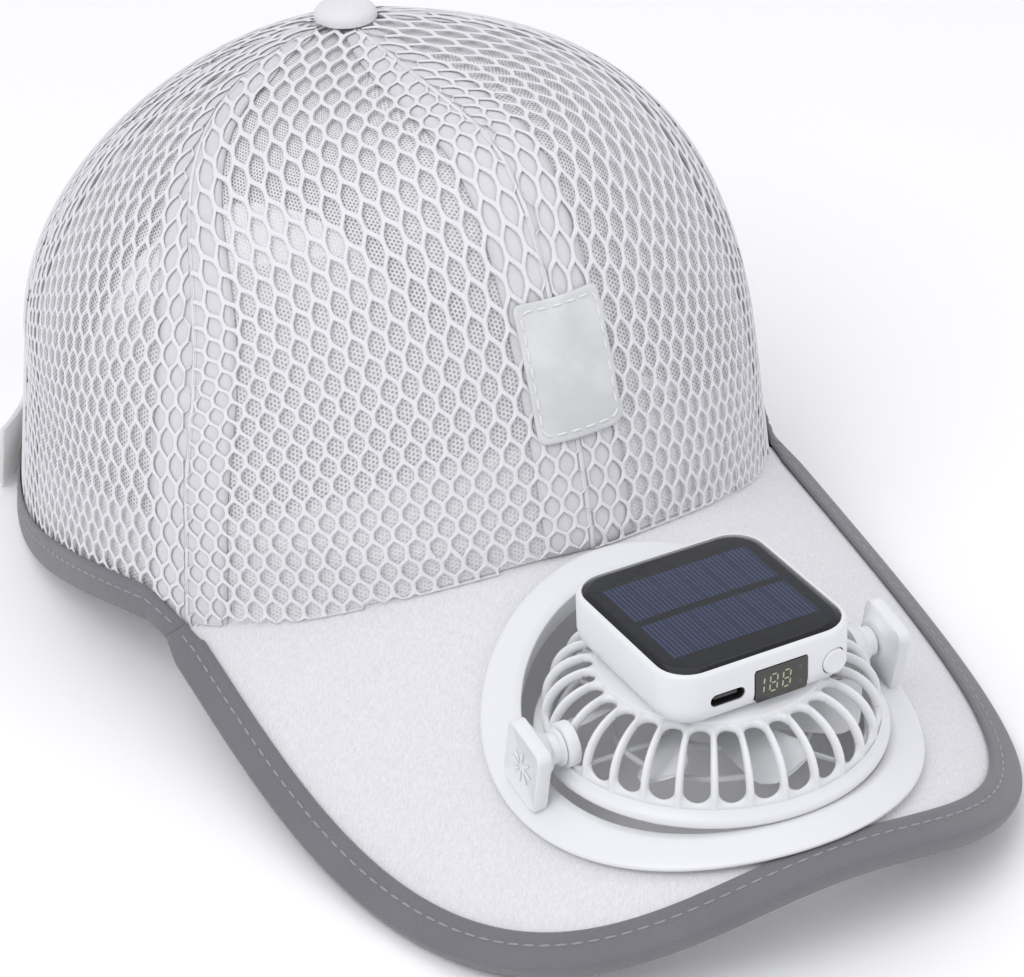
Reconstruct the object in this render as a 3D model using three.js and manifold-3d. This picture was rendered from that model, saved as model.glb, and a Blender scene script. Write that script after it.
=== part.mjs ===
import * as THREE from 'three';
import { mergeVertices } from 'three/addons/utils/BufferGeometryUtils.js';
import Module from 'manifold-3d';

const wasm = await Module();
wasm.setup();

// Millimetres, +Z up. The hat's front faces -Y and the wearer's right side is -X.
const DEG = Math.PI / 180;
const GAP = 0.3;
const FOOT_GAP = 0.7;

// Crown: plan is a rounded oval, the upper part closes on the apex, the lower part flares.
const CROWN = {
  halfWidth: 92.26, frontLength: 101.05, backShare: 1.2, standOff: 2.388510,
  shoulderZ: 15.06, apexX: 4.8, apexBehind: 34.26, apexZ: 98.17, leanPower: 1.088,
  planPowerFront: 1.8, planPowerBack: 2.243,
  closePower: [0.925, -0.631, -0.134], risePower: [0.984, -0.358, 0.156],
  flarePerMm: 0.001162, wall: 1.8,
};
const SEAM_ANGLE = { base: 1.079, sway: -0.218, open: 0.416 };
const TEMPLE = 60 * DEG;
const RIM = { startAngle: 66 * DEG, endAngle: 128 * DEG, startZ: -16.5 };
const ARCH = { halfAngle: 27 * DEG, height: 45, power: 0.8 };
const CROWN_ROWS = 7;
const APEX_HOLE = 3;

// Brim: bent about its front-to-back line and sloping down to the front.
const BRIM = {
  slope: 12 * DEG, bend: 89.22, relax: 8.654e-8, thickness: 2.6,
  halfWidth: 91, length: 150, frontMargin: 7.6, power: 3.19, endBehind: 13.7, endInset: 1.2,
};
const BINDING = { width: 8.6, leaf: 0.75, edge: 1.1, slack: 0.6, insideSlack: 1 };

// Fan mount on the brim, measured in the brim's own sloping frame.
const FLANGE = {
  outer: 52.1, inner: 42.8, collarOuter: 44.9, collarDepth: 3.4,
  seatOuter: 48.8, lipLift: 1.8, lipTop: 2.7, top: 3.6,
};
const WIDEST_V = BRIM.length - FLANGE.outer - BRIM.frontMargin;
const END_V = WIDEST_V + BRIM.endBehind;
const CENTRE_Y = FLANGE.outer * Math.cos(BRIM.slope) + CROWN.standOff + CROWN.frontLength;
const APEX_Y = CENTRE_Y + CROWN.apexBehind;
const CLAMP = { outer: 49.2, depth: 1.6 };
const AXLE = { v: -1.5, w: 2.4, tilt: 13 * DEG, journal: 2.3, clearance: 0.35, neck: 4.5 };
const BLOCK = { outerX: 50, innerX: 44.2, halfWidth: 7.6, above: 6.6, corner: 2.6, bevel: 0.7 };

// Fan unit, measured from the axle line in the unit's own frame.
const HOUSING = {
  outer: 39.6, wall: 2.2, bottom: -8.6, ringTop: -2.4, plateRadius: 29.2,
  plateBottom: 9.2, ribs: 30, ribWidth: 2, ribDepth: 2,
};
const CASE = { half: 25, bottom: 11, top: 25.2, corner: 9, lip: 1.3, bevel: 1 };
const PORT = { x: -10.6, z: 17.4, width: 9.1, height: 3.2, depth: 6 };
const DISPLAY = { x: 3.4, z: 17.3, width: 13.6, height: 8.4, depth: 0.9 };
const KNOB = { x: 17.6, z: 17.2, radius: 3.1, depth: 2, proud: 0.35, well: 3 };
const FAN = { hub: 11, tip: 34.8, blades: 7, bottom: -4.5, top: 3.5, chord: 22, thickness: 1.2 };
const MOTOR = { radius: 12, bottom: FAN.top + GAP };
const GUARD = { bottom: -8.6, height: 1.6, bar: 1.6, spokes: 6, rings: [10, 23] };

const BUTTON = { radius: 8.2, height: 4.6 };
const PATCH = { width: 23.5, low: 11.2 * DEG, high: 34.6 * DEG, thickness: 1 };
const TAPE = { halfWidth: 12, thickness: 0.8, behind: 1.6, above: 1.6 };
const BAND = { height: 29, thickness: 1.3 };
const STRAP = {
  height: 18, thickness: 1.4, leftAngle: 142 * DEG, rightAngle: 139 * DEG,
  tail: 16, tailRise: 1.4,
};

function planRadius(phi) {
  const blend = 0.5 + 0.5 * Math.cos(phi);
  const power = CROWN.planPowerBack + (CROWN.planPowerFront - CROWN.planPowerBack) * blend;
  const along = Math.cos(phi) > 0 ? CROWN.frontLength : CROWN.frontLength * CROWN.backShare;
  const across = (Math.abs(Math.sin(phi)) / CROWN.halfWidth) ** power;
  return (across + (Math.abs(Math.cos(phi)) / along) ** power) ** (-1 / power);
}

function harmonics(table, phi) {
  return table[0] + table[1] * Math.cos(phi) + table[2] * Math.cos(2 * phi);
}

// A point of the crown wall: phi round from the front, level from shoulder to apex (0 to 1) or
// below the shoulder in millimetres when negative, inset measured inwards from the outer face.
function crownPoint(phi, level, inset = 0) {
  const radius = planRadius(phi);
  if (level <= 0) {
    const r = radius * (1 - CROWN.flarePerMm * level) - inset;
    const z = CROWN.shoulderZ + level;
    return new THREE.Vector3(r * Math.sin(phi), CENTRE_Y - r * Math.cos(phi), z);
  }
  const angle = level * Math.PI / 2;
  const close = Math.max(Math.cos(angle), 0) ** harmonics(CROWN.closePower, phi);
  const rise = Math.sin(angle) ** harmonics(CROWN.risePower, phi);
  const r = (radius - inset) * close;
  const y = CENTRE_Y + (APEX_Y - CENTRE_Y) * rise ** CROWN.leanPower;
  const z = CROWN.shoulderZ + (CROWN.apexZ - inset - CROWN.shoulderZ) * rise;
  return new THREE.Vector3(CROWN.apexX * rise + r * Math.sin(phi), y - r * Math.cos(phi), z);
}

function seamPhi(side) {
  return (level) => {
    const angle = Math.max(level, 0) * Math.PI / 2;
    const open = SEAM_ANGLE.open * Math.sin(angle) ** 2;
    return side * (SEAM_ANGLE.base + SEAM_ANGLE.sway * Math.sin(2 * angle) + open);
  };
}

function brimDrop(u) {
  return -u * u / (2 * BRIM.bend) + BRIM.relax * u ** 4;
}

function brimHeight(x, y) {
  return y * Math.tan(BRIM.slope) + brimDrop(x) / Math.cos(BRIM.slope);
}

// A point above the brim's top face in the brim's own frame, measured along the face's normal.
function brimPoint(u, v, lift) {
  const steep = -u / BRIM.bend + 4 * BRIM.relax * u ** 3;
  const length = Math.hypot(1, steep);
  return new THREE.Vector3(u - lift * steep / length, v, brimDrop(u) + lift / length);
}

function smooth(value) {
  const t = Math.min(Math.max(value, 0), 1);
  return t * t * (3 - 2 * t);
}

function heightToLevel(z) {
  return z - CROWN.shoulderZ;
}

// Level at which the crown wall stands just above the brim's top face.
function brimLevel(phi, inset = 0) {
  let level = -10;
  for (let i = 0; i < 8; i += 1) {
    const p = crownPoint(phi, level, inset);
    level = Math.min(heightToLevel(brimHeight(p.x, p.y) + FOOT_GAP), -1e-3);
  }
  return level;
}

// Resample a run of crown levels so that its steps along the wall are even.
function evenLevels(phiOf, low, high, steps, inset = 0) {
  const fine = 240;
  const levels = [];
  const run = [0];
  let last = null;
  for (let i = 0; i <= fine; i += 1) {
    const split = 0.3;
    const s = i / fine;
    const below = low < 0 ? low * (1 - s / split) : low;
    const upper = Math.max(low, 0) + (high - Math.max(low, 0)) * (s - split) / (1 - split);
    const level = low < 0 ? (s < split ? below : upper) : low + (high - low) * s;
    const p = crownPoint(phiOf(level), level, inset);
    if (last) run.push(run[i - 1] + p.distanceTo(last));
    levels.push(level);
    last = p;
  }
  const result = [];
  let j = 0;
  for (let k = 0; k <= steps; k += 1) {
    const want = run[fine] * k / steps;
    while (j < fine - 1 && run[j + 1] < want) j += 1;
    const f = (want - run[j]) / Math.max(run[j + 1] - run[j], 1e-9);
    result.push(levels[j] + (levels[j + 1] - levels[j]) * Math.min(Math.max(f, 0), 1));
  }
  return result;
}

function volumeOf(positions, index) {
  let sum = 0;
  for (let i = 0; i < index.length; i += 3) {
    const [a, b, c] = [index[i], index[i + 1], index[i + 2]].map((k) => positions[k]);
    sum += a.dot(b.clone().cross(c));
  }
  return sum;
}

function solid(positions, index) {
  const order = index.slice();
  if (volumeOf(positions, index) < 0) {
    for (let i = 0; i < index.length; i += 3) {
      order[i + 1] = index[i + 2];
      order[i + 2] = index[i + 1];
    }
  }
  const numbers = positions.flatMap((p) => p.toArray());
  const geometry = new THREE.BufferGeometry();
  geometry.setAttribute('position', new THREE.Float32BufferAttribute(numbers, 3));
  geometry.setIndex(order);
  return geometry;
}

// Join rings of equal, even point count into one solid: a closed run, or an open run whose end
// caps pair each ring's first point with its last.
function loft(rings, closedRun) {
  const n = rings[0].length;
  const positions = rings.flat();
  const index = [];
  const last = closedRun ? rings.length : rings.length - 1;
  for (let i = 0; i < last; i += 1) {
    const a = i * n;
    const b = ((i + 1) % rings.length) * n;
    for (let j = 0; j < n; j += 1) {
      const k = (j + 1) % n;
      index.push(a + j, a + k, b + k, a + j, b + k, b + j);
    }
  }
  if (!closedRun) {
    const end = (rings.length - 1) * n;
    for (let i = 0; i < n / 2 - 1; i += 1) {
      const j = n - 1 - i;
      index.push(i, j, i + 1, i + 1, j, j - 1);
      index.push(end + i, end + i + 1, end + j, end + i + 1, end + j - 1, end + j);
    }
  }
  return solid(positions, index);
}

function toManifold(geometry) {
  const plain = geometry.clone();
  plain.deleteAttribute('normal');
  plain.deleteAttribute('uv');
  const merged = mergeVertices(plain, 1e-4);
  return new wasm.Manifold(new wasm.Mesh({
    numProp: 3,
    vertProperties: new Float32Array(merged.attributes.position.array),
    triVerts: new Uint32Array(merged.index.array),
  }));
}

function fromManifold(manifold) {
  const mesh = manifold.getMesh();
  const geometry = new THREE.BufferGeometry();
  geometry.setAttribute('position', new THREE.Float32BufferAttribute(mesh.vertProperties, 3));
  geometry.setIndex(Array.from(mesh.triVerts));
  return geometry;
}

function join(parts) {
  return fromManifold(parts.map(toManifold).reduce((a, b) => a.add(b)));
}

function cut(body, tools) {
  return fromManifold(tools.map(toManifold).reduce((a, b) => a.subtract(b), toManifold(body)));
}

function tube(outer, inner, low, high, segments) {
  const ring = [[inner, low], [outer, low], [outer, high], [inner, high]];
  return lathe(ring, segments);
}

function lathe(profile, segments) {
  const rings = [];
  for (let i = 0; i < segments; i += 1) {
    const a = i / segments * Math.PI * 2;
    rings.push(profile.map(([r, z]) => new THREE.Vector3(r * Math.cos(a), r * Math.sin(a), z)));
  }
  return loft(rings, true);
}

function disc(radius, low, high, segments) {
  const geometry = new THREE.CylinderGeometry(radius, radius, high - low, segments);
  geometry.rotateX(Math.PI / 2);
  geometry.translate(0, 0, (low + high) / 2);
  return geometry;
}

function rodAlongX(radius, from, to, segments, z = 0) {
  const geometry = new THREE.CylinderGeometry(radius, radius, to - from, segments);
  geometry.rotateZ(Math.PI / 2);
  geometry.translate((from + to) / 2, 0, z);
  return geometry;
}

function box(x, y, z, sx, sy, sz) {
  const geometry = new THREE.BoxGeometry(sx, sy, sz);
  geometry.translate(x, y, z);
  return geometry;
}

function roundedSquare(half, corner, steps) {
  const points = [];
  for (let q = 0; q < 4; q += 1) {
    const a0 = q * Math.PI / 2;
    const cx = (half - corner) * (q === 0 || q === 3 ? 1 : -1);
    const cy = (half - corner) * (q < 2 ? 1 : -1);
    for (let i = 0; i <= steps; i += 1) {
      const a = a0 + i / steps * Math.PI / 2;
      points.push([cx + corner * Math.cos(a), cy + corner * Math.sin(a)]);
    }
  }
  return points;
}

function stack(layers, corner, steps) {
  const rings = layers.map(([half, z]) => {
    const radius = Math.max(corner - (layers[0][2] - half), 1);
    return roundedSquare(half, radius, steps).map(([x, y]) => new THREE.Vector3(x, y, z));
  });
  return loft(rings, false);
}

const root = new THREE.Group();
root.name = 'solar_fan_hat';
const seat = new THREE.Group();
const slopeFrame = new THREE.Group();
slopeFrame.rotation.x = BRIM.slope;
const fanUnit = new THREE.Group();
fanUnit.position.set(0, AXLE.v, AXLE.w);
fanUnit.rotation.x = -AXLE.tilt;
root.add(seat);
seat.add(slopeFrame);
slopeFrame.add(fanUnit);

function place(parent, name, geometry, color, roughness, metalness = 0) {
  const material = new THREE.MeshStandardMaterial({ color, roughness, metalness });
  const mesh = new THREE.Mesh(geometry, material);
  mesh.name = name;
  parent.add(mesh);
  return mesh;
}

const WHITE_CLOTH = 0xf2f3f5;
const GREY_CLOTH = 0x8f9298;
const WHITE_PLASTIC = 0xf1f2f4;

// Brim outline in the brim's own frame, from the wearer's left temple round the front.
function brimOutline(steps) {
  const points = [];
  const side = [END_V, WIDEST_V + 6];
  side.forEach((v, i) => points.push([BRIM.halfWidth - (i === 0 ? BRIM.endInset : 0), v]));
  for (let i = 0; i <= steps; i += 1) {
    const a = i / steps * Math.PI;
    const c = Math.cos(a);
    const u = BRIM.halfWidth * Math.sign(c) * Math.abs(c) ** (2 / BRIM.power);
    points.push([u, WIDEST_V - BRIM.length * Math.sin(a) ** (2 / BRIM.power)]);
  }
  side.reverse().forEach((v, i) => points.push([-BRIM.halfWidth + (i === 1 ? BRIM.endInset : 0), v]));
  return points;
}

function evenPolyline(points, steps) {
  const run = [0];
  for (let i = 1; i < points.length; i += 1) {
    const d = Math.hypot(points[i][0] - points[i - 1][0], points[i][1] - points[i - 1][1]);
    run.push(run[i - 1] + d);
  }
  const total = run[run.length - 1];
  const result = [];
  let j = 0;
  for (let k = 0; k <= steps; k += 1) {
    const want = total * k / steps;
    while (j < points.length - 2 && run[j + 1] < want) j += 1;
    const f = (want - run[j]) / Math.max(run[j + 1] - run[j], 1e-9);
    const g = Math.min(Math.max(f, 0), 1);
    result.push([0, 1].map((c) => points[j][c] + (points[j + 1][c] - points[j][c]) * g));
  }
  return result;
}

// Brim board: a grid from the crown's foot to the outline, given its thickness, with the fan hole.
const BRIM_STEPS = 40;
const BRIM_RINGS = 3;
const outline = evenPolyline(brimOutline(160), BRIM_STEPS);
const foot = outline.map((_, i) => {
  const phi = (TEMPLE - DEG) * (1 - 2 * i / BRIM_STEPS);
  const p = crownPoint(phi, brimLevel(phi), CROWN.wall + 0.1);
  return [p.x, (p.y + brimDrop(p.x) * Math.sin(BRIM.slope)) / Math.cos(BRIM.slope)];
});

// Board edge under the binding, with its outward direction and the face's normal.
const brimEdge = outline.map(([u, v], i) => {
  const [u0, v0] = outline[Math.max(i - 1, 0)];
  const [u1, v1] = outline[Math.min(i + 1, BRIM_STEPS)];
  const normal = brimPoint(u, v, 1).sub(brimPoint(u, v, 0));
  const along = brimPoint(u1, v1, 0).sub(brimPoint(u0, v0, 0)).normalize();
  const out = along.cross(normal).normalize();
  if (out.dot(new THREE.Vector3(u, v - WIDEST_V, 0)) < 0) out.negate();
  const at = [u - out.x * BINDING.edge, v - out.y * BINDING.edge];
  const reach = Math.hypot(at[0] - foot[i][0], at[1] - foot[i][1]) - CROWN.wall - 1;
  return { at, out, width: Math.min(BINDING.width, reach) };
});

function brimSheet(lift) {
  return brimEdge.map(({ at }, i) => {
    const row = [];
    for (let j = 0; j <= BRIM_RINGS; j += 1) {
      const s = j / BRIM_RINGS;
      const [u, v] = [0, 1].map((c) => foot[i][c] + (at[c] - foot[i][c]) * s);
      row.push(brimPoint(u, v, lift));
    }
    return row;
  });
}

const RING_STEPS = 40;
const brimTop = brimSheet(0);
const brimUnder = brimSheet(-BRIM.thickness);
const brimRings = brimTop.map((row, i) => [...row, ...brimUnder[i].slice().reverse()]);
const holeCutter = disc(FLANGE.collarOuter + GAP + 0.1, -40, 40, RING_STEPS);
holeCutter.rotateZ(Math.PI / RING_STEPS);
place(slopeFrame, 'brim', cut(loft(brimRings, false), [holeCutter]), WHITE_CLOTH, 0.95);

// Edge binding: a folded strip that grips an edge. Pairs are outward distance and height.
function foldedStrip(thickness, width, insideSlack) {
  const over = BINDING.slack + BINDING.leaf;
  const under = -thickness - insideSlack - BINDING.leaf;
  return [
    [-width, over], [0.2, over], [BINDING.edge, over - 1], [BINDING.edge, under + 1],
    [0.2, under], [-width, under], [-width, -thickness - insideSlack],
    [GAP, -thickness - insideSlack], [GAP, BINDING.slack], [-width, BINDING.slack],
  ];
}

const bindingRings = brimEdge.map(({ at, out, width }) => foldedStrip(BRIM.thickness, width, BINDING.slack)
  .map(([a, b]) => brimPoint(at[0] + out.x * a, at[1] + out.y * a, b)));
const bindingMesh = place(slopeFrame, 'brim_binding', loft(bindingRings, false), GREY_CLOTH, 0.8);

// The hat rests on the two sides of the brim and on the rear of the crown's rim.
root.updateMatrixWorld(true);
const FLOOR = new THREE.Box3().setFromObject(bindingMesh, true).min.z;

function rimLevel(phi, inset = 0) {
  const a = Math.abs(phi);
  if (a <= TEMPLE + 1e-6) return brimLevel(phi, inset);
  const fall = smooth((a - RIM.startAngle) / (RIM.endAngle - RIM.startAngle));
  const side = RIM.startZ + (FLOOR - RIM.startZ) * fall + BINDING.edge;
  const across = 1 - ((Math.PI - a) / ARCH.halfAngle) ** 2;
  const arch = across > 0 ? ARCH.height * across ** ARCH.power : 0;
  return Math.min(heightToLevel(side + arch), 40);
}

function levelAtHeight(phi, z) {
  const level = heightToLevel(z);
  if (level <= 0) return level;
  let low = 0;
  let high = 0.9;
  for (let i = 0; i < 30; i += 1) {
    const mid = (low + high) / 2;
    if (crownPoint(phi, mid).z < z) low = mid;
    else high = mid;
  }
  return low;
}

function levelOfRim(phi, inset = 0) {
  return levelAtHeight(phi, CROWN.shoulderZ + rimLevel(phi, inset));
}

// Column angles: close together over the rear arch, where the rim rises steeply.
function crownAngles(from, to) {
  const angles = [];
  for (let a = from; a < to + 1e-6;) {
    angles.push(a * DEG);
    const rear = Math.abs(180 - a) < 28;
    a += rear ? 3 : 6;
  }
  return angles;
}

function turned(phi) {
  return phi > Math.PI + 1e-9 ? phi - Math.PI * 2 : phi;
}

// Level at which a column comes within the small hole under the button.
function topLevel(phi) {
  let low = 0.5;
  let high = 1;
  for (let i = 0; i < 40; i += 1) {
    const mid = (low + high) / 2;
    const p = crownPoint(phi, mid);
    const r = Math.hypot(p.x - CROWN.apexX, p.y - APEX_Y);
    if (r > APEX_HOLE) low = mid;
    else high = mid;
  }
  return high;
}

function crownShell() {
  const angles = [...crownAngles(0, 150), ...crownAngles(153, 207), ...crownAngles(210, 354)];
  const rings = angles.map((phi) => {
    const turn = turned(phi);
    const side = (inset) => {
      const levels = evenLevels(() => turn, levelOfRim(turn, inset), topLevel(turn), CROWN_ROWS, inset);
      return levels.map((level) => crownPoint(turn, level, inset));
    };
    return [...side(0), ...side(CROWN.wall).reverse()];
  });
  return loft(rings, true);
}

place(seat, 'crown', crownShell(), WHITE_CLOTH, 0.9);

// The crown wall's point nearest below or beside p, at an inset from the outer face.
function onLowerWall(p, inset) {
  const phi = Math.atan2(p.x, CENTRE_Y - p.y);
  return crownPoint(phi, Math.min(heightToLevel(p.z), 0), inset).setZ(p.z);
}

// Crown binding: from one temple round the back and over the rear arch to the other temple.
function crownBinding() {
  const angles = [...crownAngles(72, 150), ...crownAngles(153, 207), ...crownAngles(210, 288)];
  const rims = angles.map((phi) => crownPoint(turned(phi), rimLevel(turned(phi))));
  const strip = foldedStrip(CROWN.wall, BINDING.width, BINDING.insideSlack);
  const rings = rims.map((here, i) => {
    const along = rims[Math.min(i + 1, rims.length - 1)].clone().sub(rims[Math.max(i - 1, 0)]);
    const normal = here.clone().sub(onLowerWall(here, 1)).normalize();
    const away = along.normalize().cross(normal).normalize();
    if (away.z > 0) away.negate();
    return strip.map(([a, b]) => onLowerWall(here.clone().addScaledVector(away, a), -b));
  });
  return loft(rings, false);
}

place(seat, 'crown_binding', crownBinding(), GREY_CLOTH, 0.8);

// A cloth strip lying on the crown wall: phi of each side edge and its level, as a thin solid.
function wallStrip(rows, outerInset, innerInset) {
  const rings = rows.map((row) => {
    const outside = row.map(([phi, level]) => crownPoint(phi, level, outerInset));
    const inside = row.map(([phi, level]) => crownPoint(phi, level, innerInset));
    return [...outside, ...inside.reverse()];
  });
  return loft(rings, false);
}

function tape(phiOf, low, steps) {
  const inset = CROWN.wall + TAPE.behind;
  const levels = evenLevels(phiOf, low, topLevelAt(phiOf, 17), steps);
  const rows = levels.map((level) => {
    const phi = phiOf(level);
    const p = crownPoint(phi, level);
    const centreX = level > 0 ? CROWN.apexX * Math.sin(level * Math.PI / 2) : 0;
    const radius = Math.max(Math.hypot(p.x - centreX, p.y - APEX_Y), 6);
    const room = radius * 0.46;
    const half = Math.min(TAPE.halfWidth, room);
    const turn = half / Math.max(radiusOf(phi, level), 4);
    return [-1, -0.5, 0, 0.5, 1].map((s) => [phi + s * turn, level]);
  });
  return wallStrip(rows, inset, inset + TAPE.thickness);
}

function radiusOf(phi, level) {
  const a = crownPoint(phi - 0.01, level);
  const b = crownPoint(phi + 0.01, level);
  return a.distanceTo(b) / 0.02;
}

function topLevelAt(phiOf, reach) {
  let low = 0.4;
  let high = 1;
  for (let i = 0; i < 40; i += 1) {
    const mid = (low + high) / 2;
    const p = crownPoint(phiOf(mid), mid);
    if (Math.hypot(p.x - CROWN.apexX, p.y - APEX_Y) > reach) low = mid;
    else high = mid;
  }
  return high;
}

function aboveArch() {
  return levelAtHeight(Math.PI, CROWN.shoulderZ + rimLevel(Math.PI) + BINDING.width + TAPE.above);
}

// Each tape starts just above the sweatband, and the rear one above the arch's binding.
function aboveBand(phi) {
  const turn = TAPE.halfWidth / 90;
  const feet = [-1, 0, 1].map((s) => rimLevel(phi + s * turn));
  return levelAtHeight(phi, CROWN.shoulderZ + Math.max(...feet) + BAND.height + TAPE.above);
}

const seams = [
  ['seam_tape_front', () => 0, aboveBand(0), 6],
  ['seam_tape_left_front', seamPhi(1), aboveBand(SEAM_ANGLE.base), 6],
  ['seam_tape_right_front', seamPhi(-1), aboveBand(SEAM_ANGLE.base), 6],
  ['seam_tape_left_rear', () => 120 * DEG, aboveBand(120 * DEG), 6],
  ['seam_tape_right_rear', () => -120 * DEG, aboveBand(120 * DEG), 6],
  ['seam_tape_rear', () => Math.PI, aboveArch(), 5],
];
seams.forEach(([name, phiOf, low, steps]) => {
  place(seat, name, tape(phiOf, low, steps), WHITE_CLOTH, 0.9);
});

// Sweatband: stands inside the tapes and the binding's inner leaf, open across the rear arch.
function sweatband() {
  const start = Math.PI - ARCH.halfAngle - 8 * DEG;
  const columns = 32;
  const outer = CROWN.wall + BINDING.insideSlack + BINDING.leaf + GAP * 2;
  const inner = outer + BAND.thickness;
  const rings = [];
  for (let i = 0; i <= columns; i += 1) {
    const phi = start * (1 - 2 * i / columns);
    const foot = Math.max(rimLevel(phi), heightToLevel(FLOOR + 1.5));
    const levels = [0.8, BAND.height / 3, BAND.height * 2 / 3, BAND.height]
      .map((up) => levelAtHeight(phi, CROWN.shoulderZ + foot + up));
    const side = (inset) => levels.map((level) => crownPoint(phi, level, inset));
    rings.push([...side(outer), ...side(inner).reverse()]);
  }
  return loft(rings, false);
}

place(seat, 'sweatband', sweatband(), WHITE_CLOTH, 0.95);

// Button on the apex.
function buttonSolid() {
  const profile = [[0, 0], [1, 0], [1, 0.35], [0.8, 0.78], [0.42, 0.97], [0, 1]];
  const points = profile.map(([r, z]) => new THREE.Vector2(r * BUTTON.radius, z * BUTTON.height));
  const geometry = new THREE.LatheGeometry(points, 20);
  geometry.rotateX(Math.PI / 2);
  geometry.translate(CROWN.apexX, APEX_Y, CROWN.apexZ + GAP + 0.1);
  return geometry;
}

place(seat, 'button', buttonSolid(), WHITE_CLOTH, 0.8);

// Patch on the front seam.
function patchSolid() {
  const rows = [];
  for (let i = 0; i <= 5; i += 1) {
    const level = (PATCH.low + (PATCH.high - PATCH.low) * i / 5) / (Math.PI / 2);
    const half = PATCH.width / 2 / radiusOf(0, level);
    const mid = 0.8 * DEG;
    rows.push([-1, -0.5, 0, 0.5, 1].map((s) => [mid + s * half, level]));
  }
  return wallStrip(rows, -GAP - PATCH.thickness - 0.3, -GAP - 0.1);
}

place(seat, 'patch', patchSolid(), 0xd9dbde, 0.7);

// Rear strap: hugs the outside of the rear rim on the floor, its free end standing away.
function strapSolid() {
  const lift = BINDING.slack + BINDING.leaf + GAP * 2;
  const hugging = 16;
  const free = 4;
  const edgeAt = (turn, z, inset) => {
    const p = crownPoint(turn, heightToLevel(z), inset);
    return new THREE.Vector3(p.x, p.y, z);
  };
  const rings = [];
  for (let i = 0; i <= hugging; i += 1) {
    const phi = STRAP.leftAngle + (Math.PI * 2 - STRAP.leftAngle - STRAP.rightAngle) * i / hugging;
    const turn = turned(phi);
    const top = FLOOR + STRAP.height;
    rings.push([
      edgeAt(turn, FLOOR, -lift), edgeAt(turn, top, -lift),
      edgeAt(turn, top, -lift - STRAP.thickness), edgeAt(turn, FLOOR, -lift - STRAP.thickness),
    ]);
  }
  const heading = rings[hugging][0].clone().sub(rings[hugging - 1][0]).setZ(0).normalize();
  for (let i = 1; i <= free; i += 1) {
    heading.applyAxisAngle(new THREE.Vector3(0, 0, 1), -2 * DEG);
    const step = heading.clone().multiplyScalar(STRAP.tail / free).setZ(STRAP.tailRise / free);
    rings.push(rings[rings.length - 1].map((p) => p.clone().add(step)));
  }
  return loft(rings, false);
}

place(seat, 'rear_strap', strapSolid(), 0xeceae6, 0.85);

// Rings bent to the brim's arch: a profile of radius and height above the brim's top face.
function bentRing(profile, segments) {
  const rings = [];
  for (let i = 0; i < segments; i += 1) {
    const a = (i + 0.5) / segments * Math.PI * 2;
    rings.push(profile.map(([r, n]) => {
      const u = r * Math.cos(a);
      return new THREE.Vector3(u, r * Math.sin(a), brimDrop(u) + n);
    }));
  }
  return loft(rings, true);
}

const flangeProfile = [
  [FLANGE.inner, -FLANGE.collarDepth], [FLANGE.collarOuter, -FLANGE.collarDepth],
  [FLANGE.collarOuter, GAP + 0.1], [FLANGE.seatOuter, GAP + 0.1], [FLANGE.seatOuter + 0.7, FLANGE.lipLift],
  [FLANGE.outer, FLANGE.lipLift], [FLANGE.outer, FLANGE.lipTop], [FLANGE.outer - 1, FLANGE.top - 0.5],
  [FLANGE.collarOuter, FLANGE.top], [FLANGE.inner, FLANGE.top - 0.6],
];
place(slopeFrame, 'fan_flange', bentRing(flangeProfile, RING_STEPS), WHITE_PLASTIC, 0.45);

const underside = -BRIM.thickness * 1.25 - GAP;
const clampProfile = [
  [FLANGE.collarOuter + GAP, underside - CLAMP.depth], [CLAMP.outer, underside - CLAMP.depth],
  [CLAMP.outer, underside], [FLANGE.collarOuter + GAP, underside],
];
place(slopeFrame, 'clamp_ring', bentRing(clampProfile, RING_STEPS), WHITE_PLASTIC, 0.5);

// Pivot blocks: rounded squares standing on the flange, bevelled towards the axle.
function pivotBlock(side) {
  const stations = [
    [BLOCK.outerX, 1 - BLOCK.bevel / BLOCK.halfWidth], [BLOCK.outerX - 0.7, 1],
    [BLOCK.outerX - 3.4, 1], [BLOCK.innerX, 0.74],
  ];
  const rings = stations.map(([x, share]) => {
    const half = BLOCK.halfWidth * share;
    const top = BLOCK.above * share;
    const bottom = brimDrop(x) + FLANGE.top + GAP - AXLE.w + (1 - share) * 3;
    const c = BLOCK.corner;
    const outlinePoints = [
      [half, bottom], [half, top - c], [half - c * 0.3, top - c * 0.3], [half - c, top],
      [c - half, top], [c * 0.3 - half, top - c * 0.3], [-half, top - c], [-half, bottom],
    ];
    return outlinePoints.map(([v, w]) => new THREE.Vector3(side * x, v, w));
  });
  const bore = rodAlongX(AXLE.journal + AXLE.clearance, BLOCK.innerX - 2, BLOCK.innerX + 3.6, 16);
  if (side < 0) bore.rotateY(Math.PI);
  const body = cut(loft(rings, false), [bore]);
  body.translate(0, AXLE.v, AXLE.w);
  return body;
}

place(slopeFrame, 'pivot_block_left', pivotBlock(1), WHITE_PLASTIC, 0.45);
place(slopeFrame, 'pivot_block_right', pivotBlock(-1), WHITE_PLASTIC, 0.45);

// Pivot pins: a thick neck between housing and block, and a journal in the block's bore.
function pivotPin(side) {
  const neck = rodAlongX(AXLE.neck, HOUSING.outer + 0.9, BLOCK.innerX - GAP, 16);
  const journal = rodAlongX(AXLE.journal, HOUSING.outer + 1.5, BLOCK.innerX + 3.2, 12);
  const pin = join([neck, journal]);
  if (side < 0) pin.rotateY(Math.PI);
  return pin;
}

place(fanUnit, 'pivot_pin_left', pivotPin(1), WHITE_PLASTIC, 0.45);
place(fanUnit, 'pivot_pin_right', pivotPin(-1), WHITE_PLASTIC, 0.45);

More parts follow.
